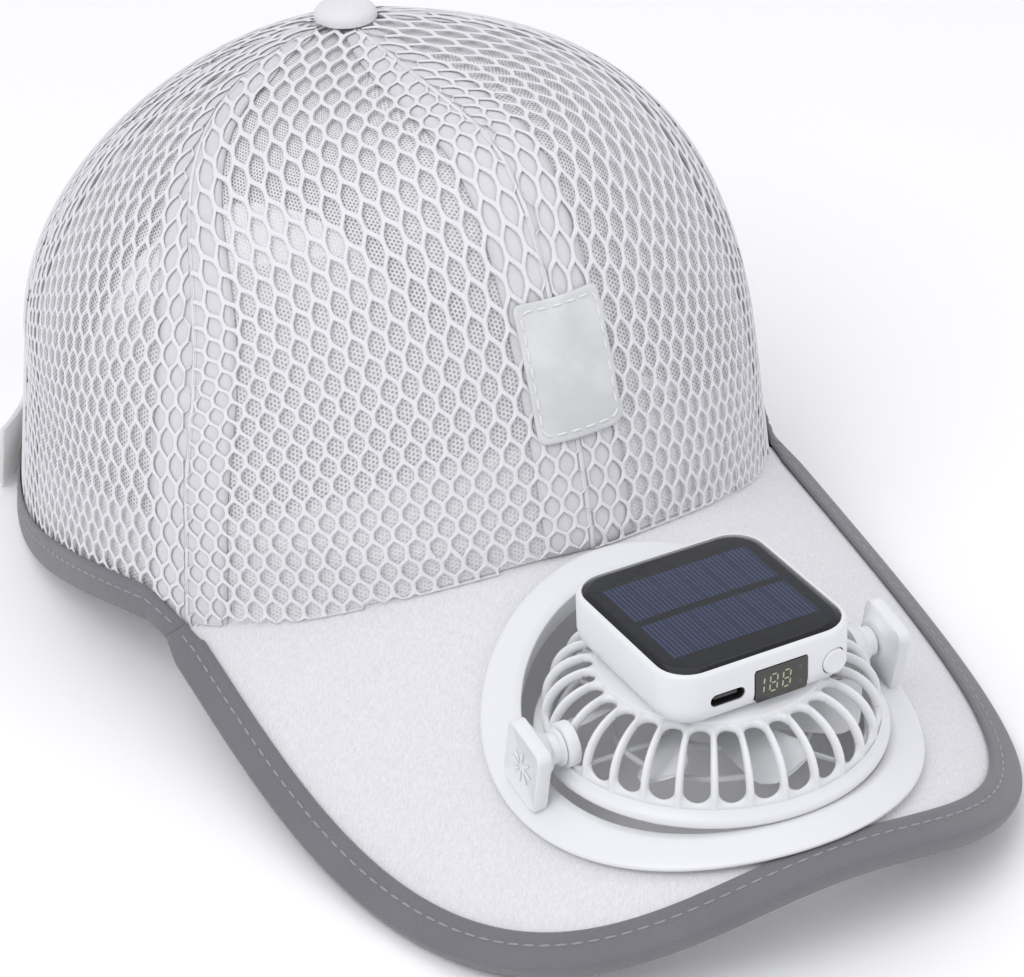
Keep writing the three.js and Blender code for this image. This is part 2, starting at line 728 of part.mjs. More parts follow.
// Housing: lower ring, ribs on a quarter ellipse, top plate and a boss for each pin.
function rib(angle) {
  const rise = HOUSING.plateBottom + 0.6 - HOUSING.ringTop;
  const run = HOUSING.outer - HOUSING.plateRadius + 0.8;
  const rings = [];
  for (let i = 0; i <= 3; i += 1) {
    const t = i === 0 ? -0.16 : Math.PI / 2 * (0.1 + 0.9 * (i - 1) / 2);
    const c = Math.cos(Math.max(t, 0));
    const s = Math.sin(Math.max(t, 0));
    const r = HOUSING.plateRadius - 0.8 + run * c;
    const z = HOUSING.ringTop + rise * s + (t < 0 ? t * 8 : 0);
    const inward = new THREE.Vector2(-c / run, -s / rise).normalize().multiplyScalar(HOUSING.ribDepth);
    const half = HOUSING.ribWidth / 2;
    rings.push([
      new THREE.Vector3(r, -half, z), new THREE.Vector3(r, half, z),
      new THREE.Vector3(r + inward.x, half, z + inward.y),
      new THREE.Vector3(r + inward.x, -half, z + inward.y),
    ]);
  }
  const geometry = loft(rings, false);
  geometry.rotateZ(angle);
  return geometry;
}

function housing() {
  const inner = HOUSING.outer - HOUSING.wall;
  const parts = [
    tube(HOUSING.outer, inner, HOUSING.bottom, HOUSING.ringTop, 48),
    disc(HOUSING.plateRadius + 0.6, HOUSING.plateBottom, CASE.bottom - GAP, 36),
  ];
  for (let i = 0; i < HOUSING.ribs; i += 1) {
    parts.push(rib((i + 0.5) / HOUSING.ribs * Math.PI * 2));
  }
  [1, -1].forEach((side) => {
    const boss = rodAlongX(AXLE.neck + 0.9, inner, HOUSING.outer + 0.6, 16);
    if (side < 0) boss.rotateY(Math.PI);
    parts.push(boss);
  });
  return join(parts);
}

place(fanUnit, 'fan_housing', housing(), WHITE_PLASTIC, 0.45);

function guard() {
  const outer = HOUSING.outer - HOUSING.wall - GAP - 0.1;
  const low = GUARD.bottom;
  const high = GUARD.bottom + GUARD.height;
  const parts = [tube(outer, outer - GUARD.bar, low, high, 30)];
  GUARD.rings.forEach((r) => parts.push(tube(r + GUARD.bar / 2, r - GUARD.bar / 2, low, high, 15)));
  for (let i = 0; i < GUARD.spokes; i += 1) {
    const length = outer - GUARD.bar / 2 - GUARD.rings[0];
    const spoke = box(GUARD.rings[0] + length / 2, 0, (low + high) / 2, length, GUARD.bar, GUARD.height);
    spoke.rotateZ(i / GUARD.spokes * Math.PI * 2);
    parts.push(spoke);
  }
  return join(parts);
}

place(fanUnit, 'fan_guard', guard(), WHITE_PLASTIC, 0.5);

place(fanUnit, 'fan_motor', disc(MOTOR.radius, MOTOR.bottom, HOUSING.plateBottom - GAP, 24), 0xe6e7ea, 0.4);

// Impeller: hub with twisted blades.
function blade(angle) {
  const rings = [];
  for (let i = 0; i <= 3; i += 1) {
    const s = i / 3;
    const r = FAN.hub - 1 + (FAN.tip - FAN.hub + 1) * s;
    const pitch = (48 - 22 * s) * DEG;
    const chord = FAN.chord * (0.42 + 0.3 * s);
    const half = Math.min(chord / 2, (FAN.top - FAN.bottom - 1) / 2 / Math.sin(pitch));
    const sweep = 0.25 * s;
    const thick = FAN.thickness / 2;
    const section = [[-half, -thick], [half, -thick], [half, thick], [-half, thick]];
    rings.push(section.map(([a, b]) => {
      const tangent = a * Math.cos(pitch) - b * Math.sin(pitch);
      const z = (FAN.bottom + FAN.top) / 2 + a * Math.sin(pitch) + b * Math.cos(pitch);
      const turn = tangent / Math.max(r, 12) + sweep;
      return new THREE.Vector3(r * Math.cos(turn), r * Math.sin(turn), z);
    }));
  }
  const geometry = loft(rings, false);
  geometry.rotateZ(angle);
  return geometry;
}

function impeller() {
  const parts = [disc(FAN.hub, FAN.bottom, FAN.top, 24)];
  for (let i = 0; i < FAN.blades; i += 1) parts.push(blade(i / FAN.blades * Math.PI * 2));
  return join(parts);
}

place(fanUnit, 'impeller', impeller(), 0xd8dade, 0.4);

// Module case with a recess for the panel, a charging port, and seats for window and button.
const panelHalf = CASE.half - CASE.lip;
const panelDepth = 1.4;

function moduleCase() {
  const layers = [
    [CASE.half - 2.4, CASE.bottom, CASE.half], [CASE.half - 0.6, CASE.bottom + 2, CASE.half],
    [CASE.half, CASE.bottom + 4, CASE.half], [CASE.half, CASE.top - CASE.bevel, CASE.half],
    [CASE.half - 0.6, CASE.top, CASE.half],
  ];
  const body = stack(layers, CASE.corner, 4);
  const recess = stack([
    [panelHalf, CASE.top - panelDepth, CASE.half], [panelHalf, CASE.top + 2, CASE.half],
  ], CASE.corner, 4);
  const port = box(PORT.x, -CASE.half, PORT.z, PORT.width - PORT.height, PORT.depth * 2, PORT.height);
  const ends = [-1, 1].map((s) => {
    const end = new THREE.CylinderGeometry(PORT.height / 2, PORT.height / 2, PORT.depth * 2, 12);
    end.translate(PORT.x + s * (PORT.width - PORT.height) / 2, -CASE.half, PORT.z);
    return end;
  });
  const slot = join([port, ...ends]);
  const window = box(
    DISPLAY.x, -CASE.half, DISPLAY.z,
    DISPLAY.width + GAP * 2, DISPLAY.depth * 2 + GAP * 2, DISPLAY.height + GAP * 2,
  );
  const well = KNOB.radius + GAP;
  const knob = new THREE.CylinderGeometry(well, well, KNOB.well * 2, 20);
  knob.translate(KNOB.x, -CASE.half, KNOB.z);
  return cut(body, [recess, slot, window, knob]);
}

place(fanUnit, 'module_case', moduleCase(), WHITE_PLASTIC, 0.4);

const panelSize = panelHalf - GAP;
const panelSolid = stack([
  [panelSize, CASE.top - panelDepth + GAP, CASE.half], [panelSize, CASE.top - 0.2, CASE.half],
  [panelSize - 1.2, CASE.top + 0.5, CASE.half],
], CASE.corner, 4);
place(fanUnit, 'solar_panel', panelSolid, 0x10131c, 0.12);

const windowSolid = box(
  DISPLAY.x, -CASE.half + DISPLAY.depth / 2, DISPLAY.z, DISPLAY.width, DISPLAY.depth, DISPLAY.height,
);
place(fanUnit, 'display_window', windowSolid, 0x2b2d2c, 0.25);

const knobSolid = new THREE.CylinderGeometry(KNOB.radius, KNOB.radius, KNOB.depth, 20);
knobSolid.translate(KNOB.x, -CASE.half - KNOB.proud + KNOB.depth / 2, KNOB.z);
place(fanUnit, 'power_button', knobSolid, WHITE_PLASTIC, 0.4);

// Stand the hat on the floor, centred front to back and side to side.
root.updateMatrixWorld(true);
const extent = new THREE.Box3().setFromObject(root, true);
seat.position.set(-(extent.min.x + extent.max.x) / 2, -(extent.min.y + extent.max.y) / 2, -extent.min.z);
root.updateMatrixWorld(true);

export default root;
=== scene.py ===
import math
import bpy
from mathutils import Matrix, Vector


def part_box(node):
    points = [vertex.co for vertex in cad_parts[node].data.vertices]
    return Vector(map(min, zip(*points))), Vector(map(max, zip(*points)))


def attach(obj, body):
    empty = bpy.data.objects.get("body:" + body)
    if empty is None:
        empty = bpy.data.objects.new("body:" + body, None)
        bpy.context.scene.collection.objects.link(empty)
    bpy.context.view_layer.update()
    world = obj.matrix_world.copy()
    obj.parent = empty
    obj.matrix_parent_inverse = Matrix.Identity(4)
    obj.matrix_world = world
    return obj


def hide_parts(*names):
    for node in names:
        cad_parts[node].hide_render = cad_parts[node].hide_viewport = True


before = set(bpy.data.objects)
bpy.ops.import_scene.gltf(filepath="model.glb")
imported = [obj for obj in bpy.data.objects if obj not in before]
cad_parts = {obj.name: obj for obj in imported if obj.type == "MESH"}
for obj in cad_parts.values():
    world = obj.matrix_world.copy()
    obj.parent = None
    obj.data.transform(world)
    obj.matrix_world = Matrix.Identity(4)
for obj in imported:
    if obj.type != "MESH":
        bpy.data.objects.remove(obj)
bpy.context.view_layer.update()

from types import SimpleNamespace as Sizes

import bpy
import numpy as np
from mathutils import Matrix

# Lengths are millimetres in the hat's own frames until a piece is placed.
PI = math.pi
DEG = PI / 180
MM = 0.001

CROWN = Sizes(half_width=92.26, front=101.05, back_share=1.2, centre_y=154.4, shoulder=15.06,
              apex_x=4.8, apex_y=188.66, apex_z=98.17, lean=1.088, power_front=1.8, power_back=2.243,
              close=(0.925, -0.631, -0.134), rise=(0.984, -0.358, 0.156), flare=0.001162, wall=1.8)
SEAM = Sizes(base=1.079, sway=-0.218, open=0.416)
TEMPLE = 60 * DEG
RIM = Sizes(start=66 * DEG, end=128 * DEG, start_z=-16.5)
ARCH = Sizes(half=27 * DEG, height=45, power=0.8)
BRIM = Sizes(slope=12 * DEG, bend=89.22, relax=8.654e-8, thickness=2.6, half_width=91, length=150,
             widest=90.3, power=3.19, end_v=104, end_inset=1.2)
BINDING = Sizes(width=8.6, leaf=0.75, edge=1.1, slack=0.6, inside=1.0)
FOOT_GAP = 0.7
GAP = 0.3
FLANGE = Sizes(outer=52.1, inner=42.8, collar=44.9, depth=3.4, seat=48.8, lift=1.8, lip=2.7, top=3.6)
CLAMP = Sizes(outer=49.2, depth=1.6)
AXLE = np.array([0.0, -1.5, 2.4])
TILT = 13 * DEG
PIN = Sizes(journal=2.3, neck=4.5)
BLOCK = Sizes(outer=50.0, inner=44.2, half=7.6, above=6.6)
HOUSING = Sizes(outer=39.6, wall=2.2, bottom=-8.6, ring_top=-2.4, plate=29.2, plate_z=9.2, ribs=30,
                plate_edge=3.0, crest=0.9, slot_share=0.77, slot_foot=1.2, slot_top=1.0, flare=1.9)
CASE = Sizes(half=25.0, bottom=11.0, top=25.2, corner=9.0, lip=1.3)
PORT = Sizes(x=-10.6, z=17.4, width=9.1, height=3.2, depth=6.0)
DISPLAY = Sizes(x=3.4, z=17.3, width=13.6, height=8.4, depth=0.9)
KNOB = Sizes(x=17.6, z=17.2, radius=3.1, depth=2.0, proud=0.35)
FAN = Sizes(hub=11.0, tip=34.8, blades=7, bottom=-4.5, top=3.5)
MOTOR_RADIUS = 12.0
GUARD = Sizes(bottom=-8.6, height=1.6, bar=1.6, spokes=6, rings=(10.0, 23.0))
BUTTON = Sizes(radius=8.2, height=4.6)
PATCH = Sizes(width=23.5, low=11.2 * DEG, high=34.6 * DEG, turn=0.8 * DEG)
BAND = Sizes(height=29.0, thickness=1.3)
STRAP = Sizes(height=18.0, thickness=1.4, left=142 * DEG, right=139 * DEG, tail=16.0, rise=1.4)
TAPE_HALF = 12.0
TEMPLE_JOIN = 69 * DEG
NET = Sizes(pitch=5.2, row=4.6, hole=(2.08, 2.82), point=1.75, strand=0.26, margin=0.3,
            draw=0.85, draw_from=12, draw_over=100)
FINE_PITCH = 1.15
INSET = Sizes(tape=0.45, fine=1.25, band=1.4)
STITCH = Sizes(length=2.9, pitch=3.9, radius=0.28, share=0.6)
# Columns of a folded strip's outline along the middle of its outer and its inner leaf.
OUTER_LINE, INNER_LINE = 3, 19
VIEW = Sizes(azimuth=-27.54027 * DEG, elevation=31.62202 * DEG, roll=-1.74836 * DEG,
             spot=(-354.8, -585.8, 479.4), film=36.0, lens=126.11)
# Name, size in metres, watts, place and aim.
LAMPS = [("key", 1.0, 9, (-0.9, -0.5, 1.3), (0, -0.02, 0.05)),
         ("fill", 1.2, 2.5, (0.9, -0.9, 0.8), (0, 0, 0.05)),
         ("top", 1.4, 4, (0.1, 0.3, 1.6), (0, 0, 0.05))]

# The button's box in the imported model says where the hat's design frame stands.
low, high = (np.array(corner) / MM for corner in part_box("button"))
SEAT = np.array([(low[0] + high[0]) / 2 - CROWN.apex_x, (low[1] + high[1]) / 2 - CROWN.apex_y,
                 low[2] - CROWN.apex_z - GAP - 0.1])
FLOOR = -SEAT[2]


# Frames: the hat's design frame, the brim's slope and the fan unit.
def turn_x(points, angle):
    """Points turned about the X axis: y' = y cos - z sin, z' = y sin + z cos."""
    c, s = math.cos(angle), math.sin(angle)
    x, y, z = points[..., 0], points[..., 1], points[..., 2]
    return np.stack([x, y * c - z * s, y * s + z * c], -1)


def in_seat(points):
    """Design frame to the row frame, in metres."""
    return (points + SEAT) * MM


def in_slope(points):
    """Brim frame to the row frame."""
    return in_seat(turn_x(points, BRIM.slope))


def in_unit(points):
    """Fan unit frame, with its origin on the axle, to the row frame."""
    return in_slope(turn_x(points, -TILT) + AXLE)


def vec(x, y, z):
    """Stack of x, y and z, broadcast together."""
    return np.stack(np.broadcast_arrays(x, y, z), -1).astype(float)


def lengths(points):
    """Running length along a run of points, from 0."""
    return np.concatenate([[0], np.cumsum(np.linalg.norm(np.diff(points, axis=0), axis=1))])


def around(count):
    """Even angles of a full turn."""
    return np.linspace(0, 2 * PI, count, endpoint=False)


def columns(at, grid, values):
    """Each column of values, read at new places along its grid by linear steps."""
    return np.stack([np.interp(at, grid, column) for column in values.T], -1)


def even(points, count):
    """Points of a run resampled at even steps."""
    run = lengths(points)
    return columns(np.linspace(0, run[-1], count), run, points)


def unit(vectors):
    """Vectors brought to length 1."""
    return vectors / np.linalg.norm(vectors, axis=-1, keepdims=True)


def ease(t):
    """Soft step t^2 (3 - 2t)."""
    return t * t * (3 - 2 * t)


def halved(low, high, steps, holds):
    """Where a test stops holding between low and high, found by halving."""
    for _ in range(steps):
        mid = (low + high) / 2
        yes = holds(mid)
        low, high = np.where(yes, mid, low), np.where(yes, high, mid)
    return low


# Crown and brim formulas.
def harmonic(table, phi):
    """t0 + t1 cos(phi) + t2 cos(2 phi)."""
    return table[0] + table[1] * np.cos(phi) + table[2] * np.cos(2 * phi)


def plan_radius(phi):
    """Superellipse radius whose power blends from back to front."""
    s, c = np.abs(np.sin(phi)), np.cos(phi)
    power = CROWN.power_back + (CROWN.power_front - CROWN.power_back) * (0.5 + 0.5 * c)
    along = np.where(c > 0, CROWN.front, CROWN.front * CROWN.back_share)
    return ((s / CROWN.half_width) ** power + (np.abs(c) / along) ** power) ** (-1 / power)


def crown(phi, level, inset=0.0):
    """Wall point: below the shoulder a flaring plan curve, level in mm; above it (level 0 to 1) the
    plan shrinks by cos^p and climbs by sin^q towards the apex. inset is measured inwards."""
    phi, level, inset = np.broadcast_arrays(np.asarray(phi, float), level, inset)
    radius = plan_radius(phi)
    angle = np.clip(level, 0, 1) * PI / 2
    close = np.clip(np.cos(angle), 0, 1) ** harmonic(CROWN.close, phi)
    rise = np.where(level > 0, np.sin(angle), 0) ** harmonic(CROWN.rise, phi)
    low = radius * (1 - CROWN.flare * level) - inset
    r = np.where(level <= 0, low, (radius - inset) * close)
    x = CROWN.apex_x * rise + r * np.sin(phi)
    y = CROWN.centre_y + (CROWN.apex_y - CROWN.centre_y) * rise ** CROWN.lean - r * np.cos(phi)
    top = CROWN.shoulder + (CROWN.apex_z - inset - CROWN.shoulder) * rise
    return vec(x, y, np.where(level <= 0, CROWN.shoulder + level, top))


def girth(phi, level):
    """Length of wall per radian of phi."""
    step = 0.004
    return np.linalg.norm(crown(phi + step, level) - crown(phi - step, level), axis=-1) / (2 * step)


def seam_phi(side):
    """Angle of the front side seam: base + sway sin(2a) + open sin(a)^2 at height angle a."""
    def phi(level):
        a = np.clip(level, 0, 1) * PI / 2
        return side * (SEAM.base + SEAM.sway * np.sin(2 * a) + SEAM.open * np.sin(a) ** 2)
    return phi


def straight_seam(angle):
    """A seam that keeps one angle."""
    return lambda level: np.full(np.shape(level), angle * DEG)


def brim_drop(u):
    """Arch of the brim: -u^2 / 2R + k u^4."""
    return -u * u / (2 * BRIM.bend) + BRIM.relax * u ** 4


def brim_point(u, v, lift=0.0):
    """Point over the brim's top face, lift measured along the arch's normal."""
    steep = -u / BRIM.bend + 4 * BRIM.relax * u ** 3
    length = np.hypot(1, steep)
    return vec(u - lift * steep / length, v, brim_drop(u) + lift / length)


def brim_level(phi, inset=0.0):
    """Level at which the wall stands just above the brim."""
    level = np.full(np.shape(phi), -10.0)
    for _ in range(8):
        p = crown(phi, level, inset)
        height = p[..., 1] * math.tan(BRIM.slope) + brim_drop(p[..., 0]) / math.cos(BRIM.slope)
        level = np.minimum(height + FOOT_GAP - CROWN.shoulder, -1e-3)
    return level


def wrapped(phi):
    """phi in -pi..pi."""
    return (np.asarray(phi) + PI) % (2 * PI) - PI


def level_at(phi, z):
    """Level whose wall point has height z, found by halving."""
    phi, z = np.broadcast_arrays(np.asarray(phi, float), z)
    level = halved(np.zeros(phi.shape), np.full(phi.shape, 0.9), 26, lambda at: crown(phi, at)[..., 2] < z)
    return np.where(z <= CROWN.shoulder, z - CROWN.shoulder, level)


def rim_height(phi):
    """Height of the crown's lower edge: on the brim, then down to the floor, with the rear arch."""
    phi = wrapped(phi)
    a = np.abs(phi)
    t = np.clip((a - RIM.start) / (RIM.end - RIM.start), 0, 1)
    side = RIM.start_z + (FLOOR - RIM.start_z) * ease(t) + BINDING.edge
    across = np.clip(1 - ((PI - a) / ARCH.half) ** 2, 0, 1)
    arch = ARCH.height * across ** ARCH.power
    on_brim = brim_level(phi)
    return np.where(a <= TEMPLE + 1e-6, CROWN.shoulder + on_brim, np.minimum(side + arch, 40))


def rim_level(phi):
    """Level of the crown's lower edge."""
    return level_at(phi, rim_height(phi))


def level_of(climb):
    """Level for a climb number: below 0 the level itself in mm, above 0 the share 1 - e^-climb."""
    return np.where(climb < 0, climb, -np.expm1(-np.maximum(climb, 0)))


def climb_of(level):
    """Climb number for a level, the other way round."""
    return np.where(level < 0, level, -np.log1p(-np.clip(level, 0, 1 - 1e-9)))


def arc_table(phi_of, low, high, count=700):
    """Climb numbers from low to high along a seam with their running length of wall."""
    climb = np.linspace(max(low, 0), high, count)
    if low < 0:
        climb = np.concatenate([np.linspace(low, 0, 120, endpoint=False), climb])
    level = level_of(climb)
    return climb, lengths(crown(phi_of(level), level))


def climb_near(phi_of, reach):
    """Climb number at which a seam comes within reach of the apex."""
    climb = np.linspace(0, 20, 1200)
    p = crown(phi_of(level_of(climb)), level_of(climb))
    away = np.hypot(p[:, 0] - CROWN.apex_x, p[:, 1] - CROWN.apex_y)
    return float(climb[np.argmax(away < reach)])


# Mesh making.
def grid_faces(rows, cols, wrap_rows=False, wrap_cols=False):
    """Quads over a grid of rows x cols points."""
    i = np.arange(rows if wrap_rows else rows - 1)
    j = np.arange(cols if wrap_cols else cols - 1)
    i, j = np.meshgrid(i, j, indexing="ij")
    k, n = (i + 1) % rows, (j + 1) % cols
    return np.stack([i * cols + j, i * cols + n, k * cols + n, k * cols + j], -1).reshape(-1, 4)


def rings(points, loop=False):
    """Skin over closed rings points[i, j], with a fan over each end unless the run closes on itself."""
    m, k = points.shape[:2]
    quads = grid_faces(m, k, loop, True)
    flat = points.reshape(-1, 3)
    if loop:
        return flat, [quads]
    ends = np.stack([points[0].mean(0), points[-1].mean(0)])
    j = np.arange(k)
    n = (j + 1) % k
    first = np.stack([np.full(k, m * k), n, j], -1)
    last = np.stack([np.full(k, m * k + 1), (m - 1) * k + j, (m - 1) * k + n], -1)
    return np.vstack([flat, ends]), [quads, np.vstack([first, last])]


def sheet(outer, inner, across, along):
    """Closed thin wall between two grids of the same size, with cloth lengths as its UV."""
    uv = np.stack(np.broadcast_arrays(across, along), -1)
    return (rings(np.concatenate([outer, inner[:, ::-1]], axis=1)),
            np.concatenate([uv, uv[:, ::-1]], axis=1))


def welded(points, key):
    """Skins over n runs of r rings of m points as one form, points that share a key made one."""
    n, r, m = points.shape[:3]
    quads = grid_faces(r, m, False, True)[None] + (np.arange(n) * r * m)[:, None, None]
    key = np.round(key.reshape(-1, 3), 3)
    _, first, index = np.unique(key, axis=0, return_index=True, return_inverse=True)
    return points.reshape(-1, 3)[first], [index.reshape(-1)[quads.reshape(-1, 4)]]


def piled(layers):
    """Skin over flat outlines at their heights."""
    return rings(np.stack([vec(p[:, 0], p[:, 1], z) for p, z in layers]))


def lathe(profile, count, loop=False):
    """Profile of (radius, height) turned about Z."""
    profile = np.asarray(profile, float)
    a = around(count)
    return rings(vec(profile[:, :1] * np.cos(a), profile[:, :1] * np.sin(a), profile[:, 1:]), loop)


def together(forms):
    """Several forms as one."""
    points, faces, start = [], [], 0
    for p, f in forms:
        points.append(p)
        faces += [part + start for part in f]
        start += len(p)
    return np.vstack(points), faces


def outward(points, faces):
    """Faces of a closed form, all turned outwards by the sign of its volume."""
    middle, total = points - points.mean(0), 0.0
    for part in faces:
        for n in range(1, part.shape[1] - 1):
            a, b, c = middle[part[:, 0]], middle[part[:, n]], middle[part[:, n + 1]]
            total += np.einsum("ij,ij->", a, np.cross(b, c))
    return [part[:, ::-1] for part in faces] if total < 0 else faces


def add(name, data):
    """New object in the scene."""
    made = bpy.data.objects.new(name, data)
    bpy.context.scene.collection.objects.link(made)
    return made


def finished(name, mesh, finish, body, nodes, sharp):
    """Shade a mesh and ride it on a body as a piece."""
    mesh.shade_smooth()
    if sharp is not None:
        mesh.set_sharp_from_angle(angle=sharp * DEG)
    mesh.materials.append(finish)
    piece = add(name, mesh)
    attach(piece, body)
    if nodes:
        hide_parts(*nodes)


def put(name, form, frame_of, finish, body="hat", nodes=(), uv=None, sharp=None, keep_side=False):
    """Make a piece from a form in its own frame. UV rows are for the form's first points."""
    points, faces = frame_of(form[0]), form[1]
    if not keep_side:
        faces = outward(points, faces)
    loops = np.concatenate([part.reshape(-1) for part in faces]).astype(np.int32)
    sizes = np.concatenate([np.full(len(part), part.shape[1]) for part in faces])
    starts = np.concatenate([[0], np.cumsum(sizes)[:-1]]).astype(np.int32)
    mesh = bpy.data.meshes.new(name)
    mesh.vertices.add(len(points))
    mesh.vertices.foreach_set("co", np.ascontiguousarray(points, np.float32).ravel())
    mesh.loops.add(len(loops))
    mesh.loops.foreach_set("vertex_index", loops)
    mesh.polygons.add(len(sizes))
    mesh.polygons.foreach_set("loop_start", starts)
    if uv is not None:
        every = np.zeros((len(points), 2), np.float32)
        every[:uv.size // 2] = uv.reshape(-1, 2)
        mesh.uv_layers.new(name="UVMap").data.foreach_set("uv", every[loops].ravel())
    mesh.update(calc_edges=True)
    mesh.validate()
    finished(name, mesh, finish, body, nodes, sharp)


# Finishes.
class Finish:
    """A node material on a Principled shader, with short calls for its nodes."""

    def __init__(self, name, color, rough, **sockets):
        self.material = bpy.data.materials.new(name)
        self.material.use_nodes = True
        self.tree = self.material.node_tree
        self.shader = self.tree.nodes["Principled BSDF"]
        self.shader.inputs["Base Color"].default_value = (*color, 1)
        self.shader.inputs["Roughness"].default_value = rough
        for key, value in sockets.items():
            self.shader.inputs[key.replace("_", " ").title().replace("Ior", "IOR")].default_value = value

    def node(self, kind, inputs=(), **props):
        """New node with its inputs linked or set: its first output."""
        made = self.tree.nodes.new("ShaderNode" + kind)
        for key, value in props.items():
            setattr(made, key, value)
        for key, value in (inputs.items() if isinstance(inputs, dict) else enumerate(inputs)):
            if isinstance(value, bpy.types.NodeSocket):
                self.tree.links.new(value, made.inputs[key])
            else:
                made.inputs[key].default_value = value
        return made.outputs[0]

    def math(self, operation, *values):
        return self.node("Math", values, operation=operation)

    def place(self, kind="Object"):
        """Coordinates in millimetres: the row frame's, or the piece's own UV."""
        source = self.tree.nodes.new("ShaderNodeTexCoord").outputs[kind]
        if kind == "UV":
            return source
        return self.node("VectorMath", {0: source, 3: 1 / MM}, operation="SCALE")

    def stretched(self, scale, turn=(0, 0, 0), kind="Object"):
        """Coordinates turned, then scaled axis by axis."""
        inputs = {"Vector": self.place(kind), "Rotation": turn}
        turned = self.node("VectorRotate", inputs, rotation_type="EULER_XYZ")
        return self.node("VectorMath", [turned, scale], operation="MULTIPLY")

    def noise(self, coords, scale=1.0, detail=2.0, rough=0.5):
        inputs = {"Vector": coords, "Scale": scale, "Detail": detail, "Roughness": rough}
        return self.node("TexNoise", inputs)

    def span(self, value, low, high, to_low=0.0, to_high=1.0):
        """A value carried from one range to another."""
        return self.node("MapRange", [value, low, high, to_low, to_high])

    def blend(self, factor, dark, light):
        """Colour between two, by a factor."""
        dark, light = ((*c, 1) if isinstance(c, tuple) else c for c in (dark, light))
        return self.node("Mix", {0: factor, 6: dark, 7: light}, data_type="RGBA").node.outputs[2]

    def bump(self, height, distance, strength=1.0):
        """Bump of a height field, distance in millimetres."""
        inputs = {"Height": height, "Distance": distance * MM, "Strength": strength}
        self.into("Normal", self.node("Bump", inputs))

    def into(self, key, value):
        """Link a value to one of the shader's sockets."""
        self.tree.links.new(value, self.shader.inputs[key])


def weave(finish, coords, pitch):
    """Height of a plain weave: a b + |a - b| of the two thread waves, which pass over and under in turn."""
    x = finish.node("SeparateXYZ", [coords])
    y = x.node.outputs[1]
    k = 2 * PI / pitch
    a = finish.math("SINE", finish.math("MULTIPLY", x, k))
    b = finish.math("SINE", finish.math("MULTIPLY", y, k))
    apart = finish.math("ABSOLUTE", finish.math("SUBTRACT", a, b))
    return finish.math("ADD", finish.math("MULTIPLY", a, b), apart)


def cloth(name, color, pitch, kind="UV", depth=0.08, rough=0.85, tint=0.05, sheen=0.25, **more):
    """Woven cloth: thread relief, fine fuzz and a slow drift of shade."""
    f = Finish(name, color, rough, sheen_weight=sheen, sheen_roughness=0.5, specular_ior_level=0.25, **more)
    coords = f.place(kind)
    fuzz = f.noise(f.place(), 1.6, 3.0, 0.6)
    drift = f.noise(f.place(), 0.06, 2.0)
    shade = f.math("ADD", f.math("MULTIPLY", fuzz, 0.6), f.math("MULTIPLY", drift, 0.4))
    darker = tuple(c * (1 - 3 * tint) for c in color)
    f.into("Base Color", f.blend(f.span(shade, 0.3, 0.7), darker, color))
    height = f.math("ADD", f.math("MULTIPLY", weave(f, coords, pitch), 0.5), fuzz)
    f.bump(height, depth)
    return f.material


def plastic(name, color, rough, grain=0.02, tint=0.02):
    """Moulded plastic: satin with a faint grain and slow changes of gloss."""
    f = Finish(name, color, rough, specular_ior_level=0.45, coat_weight=0.08, coat_roughness=0.3)
    coords = f.place()
    slow = f.noise(coords, 0.05, 2.0)
    darker = tuple(c * (1 - tint) for c in color)
    f.into("Base Color", f.blend(slow, darker, color))
    f.into("Roughness", f.span(slow, 0.3, 0.7, rough - 0.06, rough + 0.06))
    f.bump(f.noise(coords, 3.0, 2.0), grain)
    return f.material


def brim_cloth():
    """White slub cloth: short threads lying slantwise, in relief and in faint shade."""
    f = Finish("brim_slub_cloth", (0.73, 0.73, 0.745), 0.8, sheen_weight=0.3, sheen_roughness=0.45,
               specular_ior_level=0.3)
    slub = f.noise(f.stretched((2.4, 0.6, 0.8), (0, 0, 0.62)), 1.0, 3.0, 0.62)
    cross = f.noise(f.stretched((0.8, 2.6, 0.8), (0, 0, 0.62)), 1.0, 2.0, 0.6)
    height = f.math("ADD", f.math("MULTIPLY", slub, 0.75), f.math("MULTIPLY", cross, 0.35))
    f.into("Base Color", f.blend(f.span(height, 0.36, 0.66), (0.66, 0.66, 0.685), (0.77, 0.77, 0.785)))
    f.into("Roughness", f.span(height, 0.35, 0.7, 0.9, 0.62))
    f.bump(height, 0.3, 0.7)
    return f.material


def fine_net():
    """Fine knitted net behind the coarse one: holes on a close triangular lattice, seen through."""
    f = Finish("fine_net_thread", (0.80, 0.80, 0.815), 0.8, sheen_weight=0.2)
    uv = f.place("UV")
    k = 4 * PI / (math.sqrt(3) * FINE_PITCH)
    waves = []
    for c, s in ((1, 0), (0.5, 0.866), (0.5, -0.866)):
        along = f.node("VectorMath", [uv, (k * c, k * s, 0)], operation="DOT_PRODUCT")
        waves.append(f.math("COSINE", along.node.outputs[1]))
    field = f.math("ADD", f.math("ADD", waves[0], waves[1]), waves[2])
    ragged = f.math("ADD", field, f.math("MULTIPLY", f.math("SUBTRACT", f.noise(uv, 1.1, 2.0), 0.5), 1.6))
    holes = f.span(ragged, 0.1, 0.75, 1.0, 0.42)
    height = f.node("SeparateXYZ", [uv]).node.outputs[1]
    backed = f.span(height, BAND.height - 1, BAND.height, 0.86, 0.0)
    f.into("Alpha", f.math("MAXIMUM", holes, backed))
    f.bump(field, -0.05)
    return f.material


